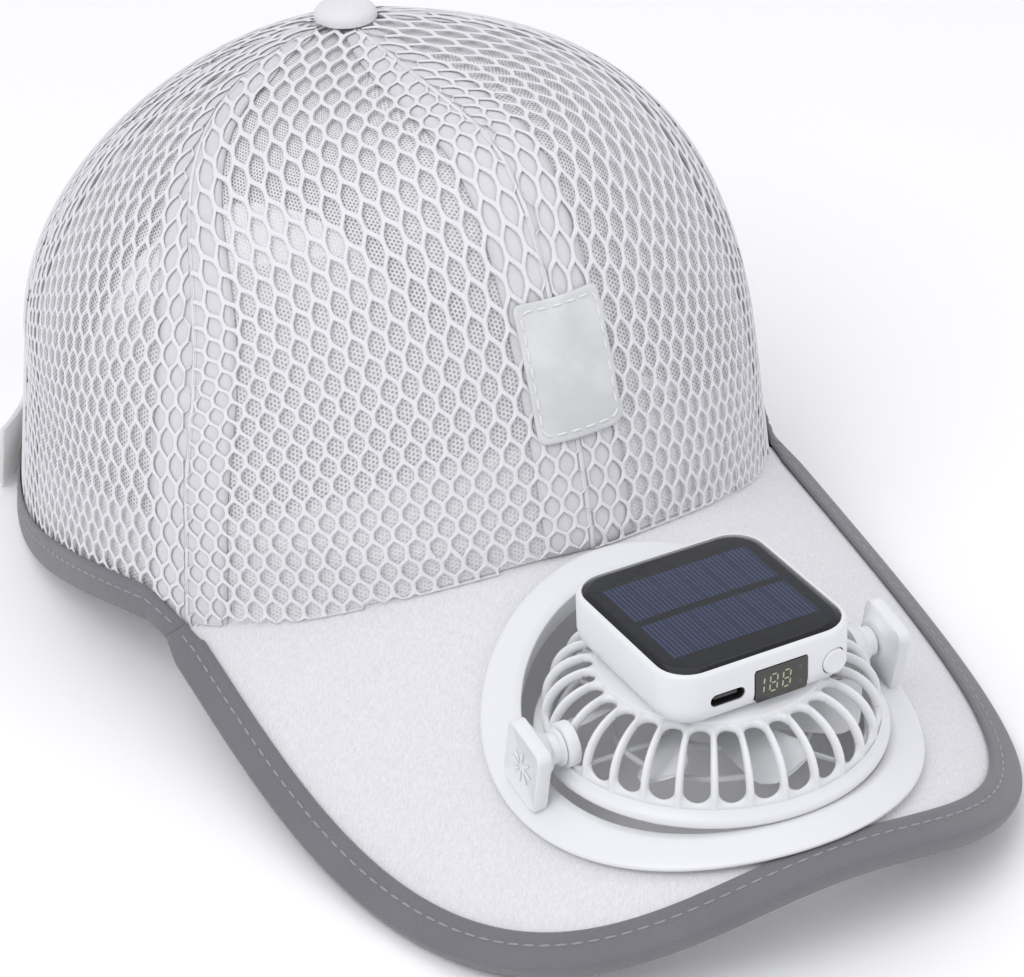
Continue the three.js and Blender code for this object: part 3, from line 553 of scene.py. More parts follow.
NET_THREAD = cloth("net_thread", (0.79, 0.79, 0.81), 0.5, "Object", 0.05, 0.72, 0.015, 0.35)
TAPE_CLOTH = cloth("tape_cloth", (0.73, 0.73, 0.75), 0.6, "UV", 0.1, 0.85, 0.02)
BAND_CLOTH = cloth("band_cloth", (0.80, 0.80, 0.82), 0.9, "UV", 0.12, 0.9, 0.03)
GREY_TAPE = cloth("grey_binding_tape", (0.185, 0.185, 0.2), 0.75, "UV", 0.12, 0.75, 0.05, 0.25)
GREY_THREAD = cloth("grey_stitch_thread", (0.31, 0.31, 0.33), 0.5, "Object", 0.05, 0.6, 0.03)
# The strap's webbing is paler than the other white cloth. This is partly painted light that lifts the
# crown's shade on its free end; its warm off-white tint is its own.
STRAP_CLOTH = cloth("strap_webbing", (0.86, 0.855, 0.83), 1.1, "UV", 0.16, 0.8, 0.03, subsurface_weight=1.0,
                    subsurface_radius=(1, 1, 1), subsurface_scale=0.006)
BUTTON_CLOTH = cloth("button_cloth", (0.80, 0.80, 0.82), 0.7, "UV", 0.12, 0.8, 0.02)
BRIM_CLOTH = brim_cloth()
FINE_NET = fine_net()
WHITE_PLASTIC = plastic("white_moulding", (0.79, 0.795, 0.81), 0.36)
FAN_PLASTIC = plastic("fan_moulding", (0.68, 0.685, 0.70), 0.4)


# Crown net: six panels of coarse net, each cell a ring of strand round its hole.
def flat_panel(seam_a, seam_b):
    """Flat cloth map of a panel. Each row is the wall cut by a plane nearly square to the panel's centre
    line, with lengths measured along it from that line. Gives tables of phi and climb over even steps."""
    def centre(level):
        return (seam_a(level) + seam_b(level)) / 2
    middle = float(centre(np.zeros(1))[0])
    panel_half, past_seams, below_foot = 0.55, 0.95, 4
    foot = rim_height(middle + np.linspace(-panel_half, panel_half, 9))
    low = float(foot.min()) - CROWN.shoulder - below_foot
    climb, run = arc_table(centre, low, climb_near(centre, 1.0))
    run = run - np.interp(0.0, climb, run)
    v = np.arange(run[0], run[-1], 1.0)
    on_line = np.interp(v, run, climb)
    phi0 = centre(level_of(on_line))
    start = crown(phi0, level_of(on_line))
    along = np.gradient(start, axis=0)
    reach, count = 15, 96
    even_out = np.ones(2 * reach + 1) / (2 * reach + 1)
    along = np.stack([np.convolve(np.pad(way, reach, "edge"), even_out, "valid") for way in along.T], -1)
    phi = phi0[:, None] + np.linspace(-past_seams, past_seams, count)[None, :]

    def short(at):
        return np.einsum("ijk,ik->ij", crown(phi, level_of(at)) - start[:, None], along) < 0
    climb = halved(np.full(phi.shape, low - 12.0), np.full(phi.shape, 20.0), 34, short)
    steps = np.linalg.norm(np.diff(crown(phi, level_of(climb)), axis=1), axis=-1)
    u = np.concatenate([np.zeros((len(v), 1)), np.cumsum(steps, 1)], 1)
    u -= u[:, count // 2 - 1:count // 2 + 1].mean(1, keepdims=True)
    wide = np.arange(-90.0, 91.0)
    tables = [[np.interp(wide, row, value) for row, value in zip(u, table)] for table in (phi, climb)]
    return wide, v, np.moveaxis(np.array(tables), 0, -1)


def look_up(table, u, v):
    """phi and level at flat cloth points, by linear steps between the table's entries."""
    wide, tall, values = table
    i = np.clip(v - tall[0], 0, len(tall) - 1.001)
    j = np.clip(u - wide[0], 0, len(wide) - 1.001)
    a, b = i.astype(int), j.astype(int)
    s, t = (i - a)[..., None], (j - b)[..., None]
    mixed = (values[a, b] * (1 - s) * (1 - t) + values[a + 1, b] * s * (1 - t)
             + values[a, b + 1] * (1 - s) * t + values[a + 1, b + 1] * s * t)
    return mixed[..., 0], level_of(mixed[..., 1])


def unroll(w):
    """Wall length for a cloth length: the net is drawn out more and more towards the button."""
    at = np.arange(-120.0, 320.0)
    share = np.clip((at - NET.draw_from) / NET.draw_over, 0, 1)
    loose = np.cumsum(1 / (1 + NET.draw * ease(share)))
    return np.interp(w, loose - np.interp(0.0, at, loose), at)


def hold_in(phi, level, seam_a, seam_b, margin):
    """phi and level kept inside the seams and above the crown's lower edge."""
    edge = margin / np.maximum(girth(phi, level), 3.0)
    phi = np.clip(phi, seam_a(level) + edge, seam_b(level) - edge)
    return phi, np.maximum(level, rim_level(phi))


def net_cell():
    """One cell: rings from its six-sided border to a pointed oval hole |x|/a + (|y|/b)^n = 1, with the
    height of a rounded strand at each ring. Borders of neighbours are shared, half way between holes."""
    a, h = NET.pitch / 2, NET.row
    reach = (a * a + h * h) / 2
    side = (reach - a * a) / h
    corners = np.array([(a, -side), (a, side), (0, reach / h), (-a, side), (-a, -side), (0, -reach / h)])
    border = np.stack([corners, (corners + np.roll(corners, -1, 0)) / 2], 1).reshape(-1, 2)
    way = unit(border)
    x, y = np.abs(way / NET.hole).T
    radius = halved(np.zeros(len(way)), np.full(len(way), 4.0), 30,
                    lambda at: at * x + (at * y) ** NET.point < 1)
    hole = way * radius[:, None]
    shares = np.array([0.0, 0.55, 1.0, 0.6, 0.0])
    heights = np.array([1.0, 0.72, 0.0, -0.85, -1.0]) * NET.strand
    return border + (hole - border) * shares[:, None, None], heights


def net_panel(name, seam_a, seam_b, turn, nodes=()):
    """Staggered cells on the panel's flat cloth, its grain turned a little, drawn out near the button."""
    cell, heights = net_cell()
    table = flat_panel(seam_a, seam_b)
    c, s = math.cos(turn), math.sin(turn)
    k, j = np.meshgrid(np.arange(-30, 60), np.arange(-22, 23), indexing="ij")
    x0, y0 = (j + 0.5 * (k % 2)) * NET.pitch, k * NET.row

    def on_wall(x, y):
        v = unroll(x * s + y * c)
        return *look_up(table, x * c - y * s, v), v
    phi, level, v = on_wall(x0, y0)
    tall = table[1]
    inside = (phi > seam_a(level)) & (phi < seam_b(level)) & (v > tall[0] + 1) & (v < tall[-1] - 2)
    inside &= (level > rim_level(phi) + 0.002)
    x = x0[inside][:, None, None] + cell[None, :, :, 0]
    y = y0[inside][:, None, None] + cell[None, :, :, 1]
    phi, level = hold_in(*on_wall(x, y)[:2], seam_a, seam_b, NET.margin)
    height = np.broadcast_to(heights[None, :, None], x.shape)
    form = welded(crown(phi, level, -height), np.stack([x, y, height], -1))
    put(name, form, in_seat, NET_THREAD, nodes=nodes)


SEAMS = dict(front=straight_seam(0), left=seam_phi(1), left_rear=straight_seam(120),
             rear=straight_seam(180), right=seam_phi(-1), right_rear=straight_seam(-120),
             rear_back=straight_seam(-180))
PANELS = [("front_left", "front", "left", -0.14), ("side_left", "left", "left_rear", -0.06),
          ("rear_left", "left_rear", "rear", 0.0), ("front_right", "right", "front", 0.14),
          ("side_right", "right_rear", "right", 0.06), ("rear_right", "rear_back", "right_rear", 0.0)]


def fine_panels():
    """Fine net sheet inside the coarse one, panel by panel, with cloth lengths from its foot as its UV."""
    forms, uvs = [], []
    for _, a, b, _ in PANELS:
        seam_a, seam_b = SEAMS[a], SEAMS[b]
        share = np.linspace(0, 1, 25)[None, :]

        def phi_on(level):
            return seam_a(level) + (seam_b(level) - seam_a(level)) * share
        foot = climb_of(rim_level(phi_on(np.zeros((1, 1)))))
        top = max(climb_near(seam_a, 5.0), climb_near(seam_b, 5.0))
        table, run = arc_table(lambda level: (seam_a(level) + seam_b(level)) / 2, 0.0, top)
        climb = np.interp(np.linspace(0, run[-1], 60), run, table)[:, None]
        lower = foot * (1 - np.arange(12)[:, None] / 12)
        level = level_of(np.concatenate([lower, np.maximum(climb, foot)]))
        phi = phi_on(level)
        points = crown(phi, level, INSET.fine)
        u = (share - 0.5) * (seam_b(level) - seam_a(level)) * girth(phi, level)
        step = np.linalg.norm(np.diff(points, axis=0), axis=-1)
        v = np.concatenate([np.zeros((1, share.size)), np.cumsum(step, 0)])
        forms.append((points.reshape(-1, 3), [grid_faces(*u.shape)]))
        uvs.append(np.stack([u, v], -1).reshape(-1, 2))
    put("crown_fine_net", together(forms), in_seat, FINE_NET, uv=np.vstack(uvs),
        keep_side=True)


for label, first, second, turn in PANELS:
    nodes = ("crown",) if label == "front_left" else ()
    net_panel("crown_net_" + label, SEAMS[first], SEAMS[second], turn, nodes)
fine_panels()


def wall_strip(phi_of, low, high, half, steps, inset, thickness, proud=0.0, across=9):
    """Strip along a seam: half its width each way on the wall, narrower near the button, where it may
    take half the way to the apex, its face bulging by a cosine."""
    climb, run = arc_table(phi_of, low, high)
    at = level_of(np.interp(np.linspace(0, run[-1], steps), run, climb))[:, None]
    s = np.linspace(-1, 1, across)[None, :]
    middle = crown(phi_of(at), at)
    room = np.hypot(middle[..., 0] - CROWN.apex_x, middle[..., 1] - CROWN.apex_y) * 0.5
    room = np.minimum(half, np.where(at > 0, room, half))
    phi = phi_of(at) + s * room / np.maximum(girth(phi_of(at), at), 2.0)
    outer = crown(phi, at, inset - proud * np.cos(s * PI / 2))
    inner = crown(phi, at, inset + thickness)
    return sheet(outer, inner, s * room, np.linspace(0, run[-1], steps)[:, None])


ridges = []
for label, part in dict(front="front", left="left_front", right="right_front", left_rear="left_rear",
                        right_rear="right_rear", rear="rear").items():
    phi_of, node = SEAMS[label], "seam_tape_" + part
    foot = float(climb_of(rim_level(phi_of(np.zeros(1))))[0])
    form, uv = wall_strip(phi_of, foot + 0.02, climb_near(phi_of, 9.0), TAPE_HALF, 90, INSET.tape, 0.6)
    put("inside_" + node, form, in_seat, TAPE_CLOTH, nodes=(node,), uv=uv)
    ridges.append(wall_strip(phi_of, foot + 0.02, climb_near(phi_of, 5.0), 0.6, 140, 0.15, 0.4, 0.12, 7)[0])
put("crown_seam_ridges", together(ridges), in_seat, NET_THREAD)


def sweatband():
    """Band inside the crown's foot: it hugs the wall, and stands off behind the binding's inner leaf."""
    start = PI - ARCH.half - 8 * DEG
    phi = np.linspace(start, -start, 160)[:, None]
    foot = np.maximum(rim_height(phi), FLOOR + 1.5)
    up = np.linspace(0, 1, 14)[None, :]
    z = foot + 0.8 + (BAND.height - 0.8) * up
    level = level_at(np.broadcast_to(phi, z.shape), z)
    front = np.clip((66 * DEG - np.abs(phi)) / (6 * DEG), 0, 1)
    hug = np.clip(np.maximum((z - foot - BINDING.width) / 8, front), 0, 1)
    inset = CROWN.wall + 2.4 - (CROWN.wall + 2.4 - INSET.band) * ease(hug)
    outer, inner = crown(phi, level, inset), crown(phi, level, inset + BAND.thickness)
    form, uv = sheet(outer, inner, phi * 95, z)
    put("sweatband_cloth", form, in_seat, BAND_CLOTH, nodes=("sweatband",), uv=uv)


sweatband()


# Brim board, bindings and their stitches.
def brim_outline(count):
    """Superellipse front with straight sides back to the temples."""
    a = np.linspace(0, PI, 600)
    c = np.cos(a)
    u = BRIM.half_width * np.sign(c) * np.abs(c) ** (2 / BRIM.power)
    v = BRIM.widest - BRIM.length * np.sin(a) ** (2 / BRIM.power)
    front = np.stack([u, v], -1)
    end = np.array([[BRIM.half_width - BRIM.end_inset, BRIM.end_v],
                    [BRIM.half_width, BRIM.widest + 6]])
    return even(np.vstack([end, front, end[::-1] * [-1, 1]]), count)


def brim_edge(count=420):
    """Board edge under the binding, its outward direction and the binding's width there."""
    outline = brim_outline(count)
    u, v = outline[:, 0], outline[:, 1]
    normal = brim_point(u, v, 1.0) - brim_point(u, v)
    along = np.gradient(brim_point(u, v), axis=0)
    out = unit(np.cross(along, normal))
    away = out[:, 0] * u + out[:, 1] * (v - BRIM.widest) < 0
    out[away] *= -1
    at = outline - out[:, :2] * BINDING.edge
    phi = np.linspace(TEMPLE - DEG, DEG - TEMPLE, count)
    p = crown(phi, brim_level(phi), CROWN.wall + 0.1)
    v = (p[:, 1] + brim_drop(p[:, 0]) * math.sin(BRIM.slope)) / math.cos(BRIM.slope)
    foot = np.stack([p[:, 0], v], -1)
    room = np.linalg.norm(at - foot, axis=1) - CROWN.wall - 1
    return at, out, np.minimum(BINDING.width, room), foot


EDGE_AT, EDGE_OUT, EDGE_WIDTH, BRIM_FOOT = brim_edge()


def brim_board():
    """Board between the fan hole and the closed border of edge and foot, on rays from the hole's centre."""
    border = np.vstack([EDGE_AT[::2], BRIM_FOOT[::-2]])
    angle = np.arctan2(border[:, 1], border[:, 0])[None, :]
    hole = FLANGE.collar + GAP + 0.1
    s = np.linspace(0, 1, 30)[:, None]
    u = hole * np.cos(angle) * (1 - s) + border[None, :, 0] * s
    v = hole * np.sin(angle) * (1 - s) + border[None, :, 1] * s
    top = brim_point(u, v)
    under = brim_point(u[::-1], v[::-1], -BRIM.thickness)
    return rings(np.vstack([top, under]), loop=True)


def fold_profile(thickness, inside, width):
    """Closed outline of a folded strip round an edge, as outward distance and height: outer path over
    the top leaf, round the fold and back under, then the inner path. Widths vary along the strip."""
    top, below = BINDING.slack, -thickness - inside
    over, under = top + BINDING.leaf, below - BINDING.leaf
    mid, half = (over + under) / 2, (over - under) / 2
    bulge, lip_x, lip_z = 0.9, 0.5, 0.45
    rows = [(-width, over - lip_z), (-width + lip_x, over)]
    rows += [(-width * share, over) for share in (0.8, 0.6, 0.4, 0.2)]
    rows += [(BINDING.edge - bulge + bulge * math.cos(t), mid + half * math.sin(t))
             for t in np.linspace(PI / 2, -PI / 2, 11)]
    rows += [(-width * share, under) for share in (0.2, 0.4, 0.6, 0.8)]
    rows += [(-width + lip_x, under), (-width, under + lip_z)]
    rows += [(-width, below), (-width * 0.5, below), (GAP, below)]
    rows += [(GAP, top), (-width * 0.5, top), (-width, top)]
    return tuple(np.stack([np.broadcast_to(row[k], width.shape) for row in rows], 1) for k in (0, 1))


def pucker(run, out, width, height, depth=0.16):
    """Cloth drawn down round the stitch line: a dip across the strip that deepens at each stitch's ends."""
    across = np.exp(-((out / -width[:, None] - STITCH.share) / 0.13) ** 2)
    wave = 0.65 - 0.35 * np.cos(2 * PI * run / STITCH.pitch)[:, None]
    outside = np.where(height > 0, 1.0, -1.0)
    return height - outside * depth * across * wave


def stitches(path, face):
    """Thread ovals laid end to end with gaps along a path: spheres stretched along it and sunk by half.
    face is the outward direction at each path point."""
    run = lengths(path)
    at = np.arange(STITCH.pitch / 2, run[-1] - STITCH.pitch / 2, STITCH.pitch)
    t = np.linspace(0.12, PI - 0.12, 6)
    a = around(6)
    place = at[:, None] - np.cos(t)[None, :] * STITCH.length / 2
    tangent = columns(place + 0.4, run, path) - columns(place - 0.4, run, path)
    side = unit(np.cross(tangent, columns(place, run, face)))
    up = unit(np.cross(side, tangent))
    size = STITCH.radius * np.sin(t)[None, :, None, None] ** 0.6
    ring = side[:, :, None] * np.cos(a)[:, None] * 1.15 + up[:, :, None] * np.sin(a)[:, None]
    points = columns(place, run, path)[:, :, None] + ring * size
    return together([rings(one) for one in points])


put("brim_board", brim_board(), in_slope, BRIM_CLOTH, nodes=("brim",), sharp=50)


def bound_strip(name, points):
    """Folded tape through its sections, with thread along the middle of its outer and inner leaf."""
    outer, inner = points[:, OUTER_LINE], points[:, INNER_LINE]
    run = lengths(outer)
    across = np.cumsum(np.linalg.norm(np.diff(points, axis=1, prepend=points[:, :1]), axis=2), 1)
    uv = np.stack(np.broadcast_arrays(run[:, None], across), -1)
    put(name + "_tape", rings(points), in_seat, GREY_TAPE, nodes=(name,), uv=uv)
    face = unit(outer - inner)
    threads = together([stitches(outer + face * 0.05, face), stitches(inner - face * 0.05, -face)])
    put(name + "_stitches", threads, in_seat, GREY_THREAD)


def brim_binding():
    """Sections of the folded strip along the brim's edge, laid on the arch's normals."""
    out, height = fold_profile(BRIM.thickness, BINDING.slack, EDGE_WIDTH)
    height = pucker(lengths(brim_point(EDGE_AT[:, 0], EDGE_AT[:, 1])), out, EDGE_WIDTH, height)
    u = EDGE_AT[:, :1] + EDGE_OUT[:, :1] * out
    v = EDGE_AT[:, 1:] + EDGE_OUT[:, 1:2] * out
    return turn_x(brim_point(u, v, height), BRIM.slope)


def lower_wall(points, inset):
    """Points laid on the crown's lower wall at an inset, their heights kept."""
    phi = np.arctan2(points[..., 0], CROWN.centre_y - points[..., 1])
    p = crown(phi, np.minimum(points[..., 2] - CROWN.shoulder, 0), inset)
    p[..., 2] = points[..., 2]
    return p


def crown_binding():
    """Sections of the folded strip along the crown's lower edge, round the back and over the arch."""
    phi = np.linspace(TEMPLE_JOIN, 2 * PI - TEMPLE_JOIN, 2600)
    rim = even(crown(phi, rim_level(phi)), 660)
    normal = rim - lower_wall(rim, 1.0)
    along = np.gradient(rim, axis=0)
    for _ in range(6):
        along[1:-1] = (along[:-2] + along[1:-1] * 2 + along[2:]) / 4
    away = unit(np.cross(along, normal))
    away[away[:, 2] > 0] *= -1
    width = np.full(len(rim), BINDING.width)
    out, height = fold_profile(CROWN.wall, BINDING.inside, width)
    height = pucker(lengths(rim), out, width, height)
    return lower_wall(rim[:, None] + away[:, None] * out[..., None], -height)


# The crown's strip starts and ends on the brim's end sections, lofted over eight steps.
brim_sections, crown_sections = brim_binding(), crown_binding()
share = np.linspace(0, 1, 9)[:-1, None, None]
join_left, join_right = (brim_sections[end] * (1 - share) + crown_sections[end] * share for end in (0, -1))
bound_strip("brim_binding", brim_sections)
bound_strip("crown_binding", np.concatenate([join_left, crown_sections, join_right[::-1]]))


# Button, patch and strap.
def button():
    """Domed button: a flattened half sphere with a tucked foot."""
    a = np.linspace(0.02, PI / 2, 18)
    r, h = BUTTON.radius, BUTTON.height
    dome = [(r * math.sin(t) ** 0.85, h * (0.14 + 0.86 * math.cos(t) ** 0.8)) for t in a]
    foot = [(r, h * 0.08), (r * 0.9, 0.0), (r * 0.05, 0.0)]
    points, faces = lathe(dome + foot, 64)
    seated = points + [CROWN.apex_x, CROWN.apex_y, CROWN.apex_z + GAP + 0.1]
    put("button_cover", (seated, faces), in_seat, BUTTON_CLOTH, nodes=("button",), uv=points[:, :2])


def rounded_outline(half_x, half_y, corner, count):
    """Rounded rectangle by angle, as an even closed run."""
    way = np.stack([np.cos(around(720)), np.sin(around(720))], -1)
    points = (np.array([half_x, half_y]) - corner) * np.sign(way) + corner * way
    return even(np.vstack([points, points[:1]]), count + 1)[:-1]


def patch():
    """Rounded rectangle on the front seam: rings from its middle to the edge, laid over the net."""
    ends = climb_of(np.array([PATCH.low, PATCH.high]) / (PI / 2))
    climb, run = arc_table(lambda level: np.full(np.shape(level), PATCH.turn), *ends)
    half = run[-1] / 2
    outline = rounded_outline(PATCH.width / 2, half, 2.2, 96)

    def on_wall(xy, inset):
        at = level_of(np.interp(xy[..., 1] + half, run, climb))
        return crown(PATCH.turn + xy[..., 0] / girth(PATCH.turn, at), at, inset)
    shares = np.array([0.02, 0.3, 0.6, 0.8, 0.86, 0.9, 0.95, 0.985, 1.0])
    proud = np.array([1.15, 1.15, 1.15, 1.12, 0.98, 0.98, 1.1, 1.02, 0.75])
    top = np.stack([on_wall(outline * s, -h) for s, h in zip(shares, proud)])
    under = np.stack([on_wall(outline * s, -0.42) for s in shares[::-1]])
    put("patch_sheet", rings(np.concatenate([top, under])), in_seat, PATCH_SHEET, nodes=("patch",))
    line = np.vstack([outline * 0.88, outline[:1] * 0.88])
    path, face = on_wall(line, -1.1), on_wall(line, -2.0) - on_wall(line, -1.0)
    put("patch_stitches", stitches(path, face), in_seat, PATCH_THREAD)


def patch_finish():
    """Pale grey smooth sheet with soft cloudy marks."""
    f = Finish("patch_sheet", (0.66, 0.67, 0.68), 0.5, specular_ior_level=0.35, coat_weight=0.15,
               coat_roughness=0.4)
    cloud = f.noise(f.place(), 0.09, 3.0, 0.55)
    f.into("Base Color", f.blend(f.span(cloud, 0.38, 0.66), (0.63, 0.635, 0.645), (0.72, 0.725, 0.735)))
    f.bump(f.noise(f.place(), 2.2, 3.0), 0.05)
    return f.material


PATCH_SHEET = patch_finish()
PATCH_THREAD = cloth("patch_thread", (0.82, 0.82, 0.83), 0.4, "Object", 0.04, 0.6, 0.01)


def strap():
    """Flat webbing round the rear rim on the floor, then a free end of four short legs, each turned out
    by two degrees more, that rises a little."""
    lift = BINDING.slack + BINDING.leaf + GAP * 2
    phi = np.linspace(STRAP.left, 2 * PI - STRAP.right, 120)
    z = FLOOR + np.linspace(0, STRAP.height, 9)

    def face(inset):
        p = crown(wrapped(phi)[:, None], z - CROWN.shoulder, inset)
        p[..., 2] = z
        return p
    inner, outer = face(-lift), face(-lift - STRAP.thickness)
    last = phi[-1] + (phi[-1] - phi[0]) * np.array([-1 / 16, 0])
    foot = crown(wrapped(last), FLOOR - CROWN.shoulder, -lift)
    heading = math.atan2(foot[1, 1] - foot[0, 1], foot[1, 0] - foot[0, 0])
    turns = heading - 2 * DEG * np.arange(1, 5)
    climb = np.full(4, STRAP.rise / STRAP.tail)
    legs = np.stack([np.cos(turns), np.sin(turns), climb], -1) * STRAP.tail / 4
    tail = columns(np.linspace(0, 4, 33)[1:], np.arange(5), np.vstack([np.zeros(3), np.cumsum(legs, 0)]))
    inner = np.concatenate([inner, inner[-1][None] + tail[:, None]])
    outer = np.concatenate([outer, outer[-1][None] + tail[:, None]])
    form, uv = sheet(outer, inner, np.arange(len(inner))[:, None] * 1.3, z[None])
    put("rear_strap_webbing", form, in_seat, STRAP_CLOTH, nodes=("rear_strap",), uv=uv, sharp=50)


button()
patch()
strap()


# Fan mount: flange, clamp ring and pivot blocks.
def softened(profile, radius, steps=3):
    """Closed profile with each corner rounded by a quadratic arc."""
    p = np.asarray(profile, float)

    def reach(q):
        length = np.linalg.norm(q - p, axis=1, keepdims=True)
        return p + (q - p) / length * np.minimum(radius, length * 0.45)
    a, b = reach(np.roll(p, 1, 0)), reach(np.roll(p, -1, 0))
    t = np.linspace(0, 1, steps + 1)[None, :, None]
    arc = a[:, None] * (1 - t) ** 2 + 2 * p[:, None] * t * (1 - t) + b[:, None] * t ** 2
    return arc.reshape(-1, 2)


def bent_ring(profile, count=180):
    """Profile of radius and height above the brim, turned and laid on the brim's arch."""
    a = around(count)[:, None]
    u, v = profile[None, :, 0] * np.cos(a), profile[None, :, 0] * np.sin(a)
    return rings(vec(u, v, brim_drop(u) + profile[None, :, 1]), loop=True)


flange_profile = softened([
    (FLANGE.inner, -FLANGE.depth), (FLANGE.collar, -FLANGE.depth), (FLANGE.collar, GAP + 0.1),
    (FLANGE.seat, GAP + 0.1), (FLANGE.seat + 0.7, FLANGE.lift), (FLANGE.outer, FLANGE.lift),
    (FLANGE.outer, FLANGE.lip), (FLANGE.outer - 1, FLANGE.top - 0.5),
    (FLANGE.collar, FLANGE.top), (FLANGE.inner, FLANGE.top - 0.6)], 0.45)
put("flange_ring", bent_ring(flange_profile), in_slope, WHITE_PLASTIC, nodes=("fan_flange",), sharp=60)
under = -BRIM.thickness * 1.25 - GAP
clamp_profile = softened([(FLANGE.collar + GAP, under - CLAMP.depth), (CLAMP.outer, under - CLAMP.depth),
                          (CLAMP.outer, under), (FLANGE.collar + GAP, under)], 0.4)
put("clamp_ring_moulding", bent_ring(clamp_profile), in_slope, WHITE_PLASTIC, nodes=("clamp_ring",),
    sharp=60)


SIDES = ((1, "left"), (-1, "right"))


def pivot_block(side, node):
    """Rounded square plate on the flange, then a shoulder whose section shrinks to a round neck."""
    face, inner = BLOCK.outer, BLOCK.inner
    low = brim_drop(face) + FLANGE.top + GAP - AXLE[2]
    mid, half_z = (BLOCK.above + low) / 2, (BLOCK.above - low) / 2
    square = rounded_outline(BLOCK.half, half_z, 2.4, 96)
    turn = np.arctan2(square[:, 1], square[:, 0])
    round_neck = np.stack([5.0 * np.cos(turn), 5.0 * np.sin(turn) - mid], -1)
    # Distance along X, share of the round neck, size.
    stations = [(face - 0.25, 0.0, 0.90), (face, 0.0, 0.93), (face - 0.12, 0.0, 0.965),
                (face - 0.45, 0.0, 0.992), (face - 0.9, 0.0, 1.0), (face - 3.0, 0.0, 1.0),
                (face - 3.4, 0.04, 1.0), (face - 3.8, 0.35, 1.0), (inner + 1.2, 0.75, 1.0),
                (inner + 0.4, 0.96, 1.0), (inner, 1.0, 0.96)]
    layers = []
    for x, blend, size in stations:
        p = (square * (1 - blend) + round_neck * blend) * size
        layers.append(vec(side * x, p[:, 0], p[:, 1] + mid) + AXLE)
    put(node + "_moulding", rings(np.stack(layers)), in_slope, WHITE_PLASTIC, nodes=(node,), sharp=50)


def snow_mark(side):
    """Ring of eight raised petals: ovals set round a circle on the block's outer face."""
    mid = (BLOCK.above + brim_drop(BLOCK.outer) + FLANGE.top - AXLE[2]) / 2
    t, a = np.linspace(0.15, PI - 0.15, 8)[:, None], around(10)[None, :]
    along, wide = 2.75 - 1.6 * np.cos(t), 0.42 * np.sin(t) ** 0.7 * np.cos(a)
    proud = 0.3 * np.sin(t) * np.sin(a)
    forms = []
    for turn in around(8):
        c, s = math.cos(turn), math.sin(turn)
        y, z = along * c - wide * s, along * s + wide * c
        forms.append(rings(vec(side * (BLOCK.outer + proud), y, z + mid) + AXLE))
    return together(forms)


for side, label in SIDES:
    pivot_block(side, "pivot_block_" + label)
put("snow_marks", together([snow_mark(side) for side, _ in SIDES]), in_slope, WHITE_PLASTIC)


# Fan unit.
def x_lathe(profile, side, count=48):
    """Profile of (distance along X, radius) turned about X."""
    profile = np.asarray(profile, float)
    a = around(count)
    return rings(vec(side * profile[:, :1], profile[:, 1:] * np.cos(a), profile[:, 1:] * np.sin(a)))


neck, journal = PIN.neck, PIN.journal
start, step, end = HOUSING.outer + 0.9, BLOCK.inner - GAP, BLOCK.inner + 3.2
pin_profile = [(start, neck * 0.5), (start, neck), (start + 0.9, neck), (start + 1.3, neck * 0.82),
               (step - 0.3, neck * 0.82), (step, neck * 0.76), (step, journal), (end, journal),
               (end, journal * 0.5)]
for side, label in SIDES:
    node = "pivot_pin_" + label
    put(node + "_moulding", x_lathe(pin_profile, side), in_unit, WHITE_PLASTIC, "fan_unit", (node,),
        sharp=40)


def dome_wall():
    """Dome outline, straight up the ring and then over a quarter ellipse. Gives a call for points on or
    inside it, its full length and the ring's height."""
    edge = HOUSING.plate - HOUSING.plate_edge
    rise = HOUSING.plate_z + HOUSING.crest - HOUSING.ring_top
    t = np.linspace(0, PI / 2, 200)
    curve = np.stack([edge + (HOUSING.outer - edge) * np.cos(t), HOUSING.ring_top + rise * np.sin(t)], -1)
    curve = np.vstack([[HOUSING.outer, HOUSING.bottom], curve])
    run = lengths(curve)
    slope = unit(np.gradient(curve, run, axis=0))

    def point(turn, along, inward):
        (r, z), (dr, dz) = (np.moveaxis(columns(along, run, of), -1, 0) for of in (curve, slope))
        r = r - dz * inward
        return vec(r * np.cos(turn), r * np.sin(turn), z + dr * inward)
    return point, run[-1], HOUSING.ring_top - HOUSING.bottom


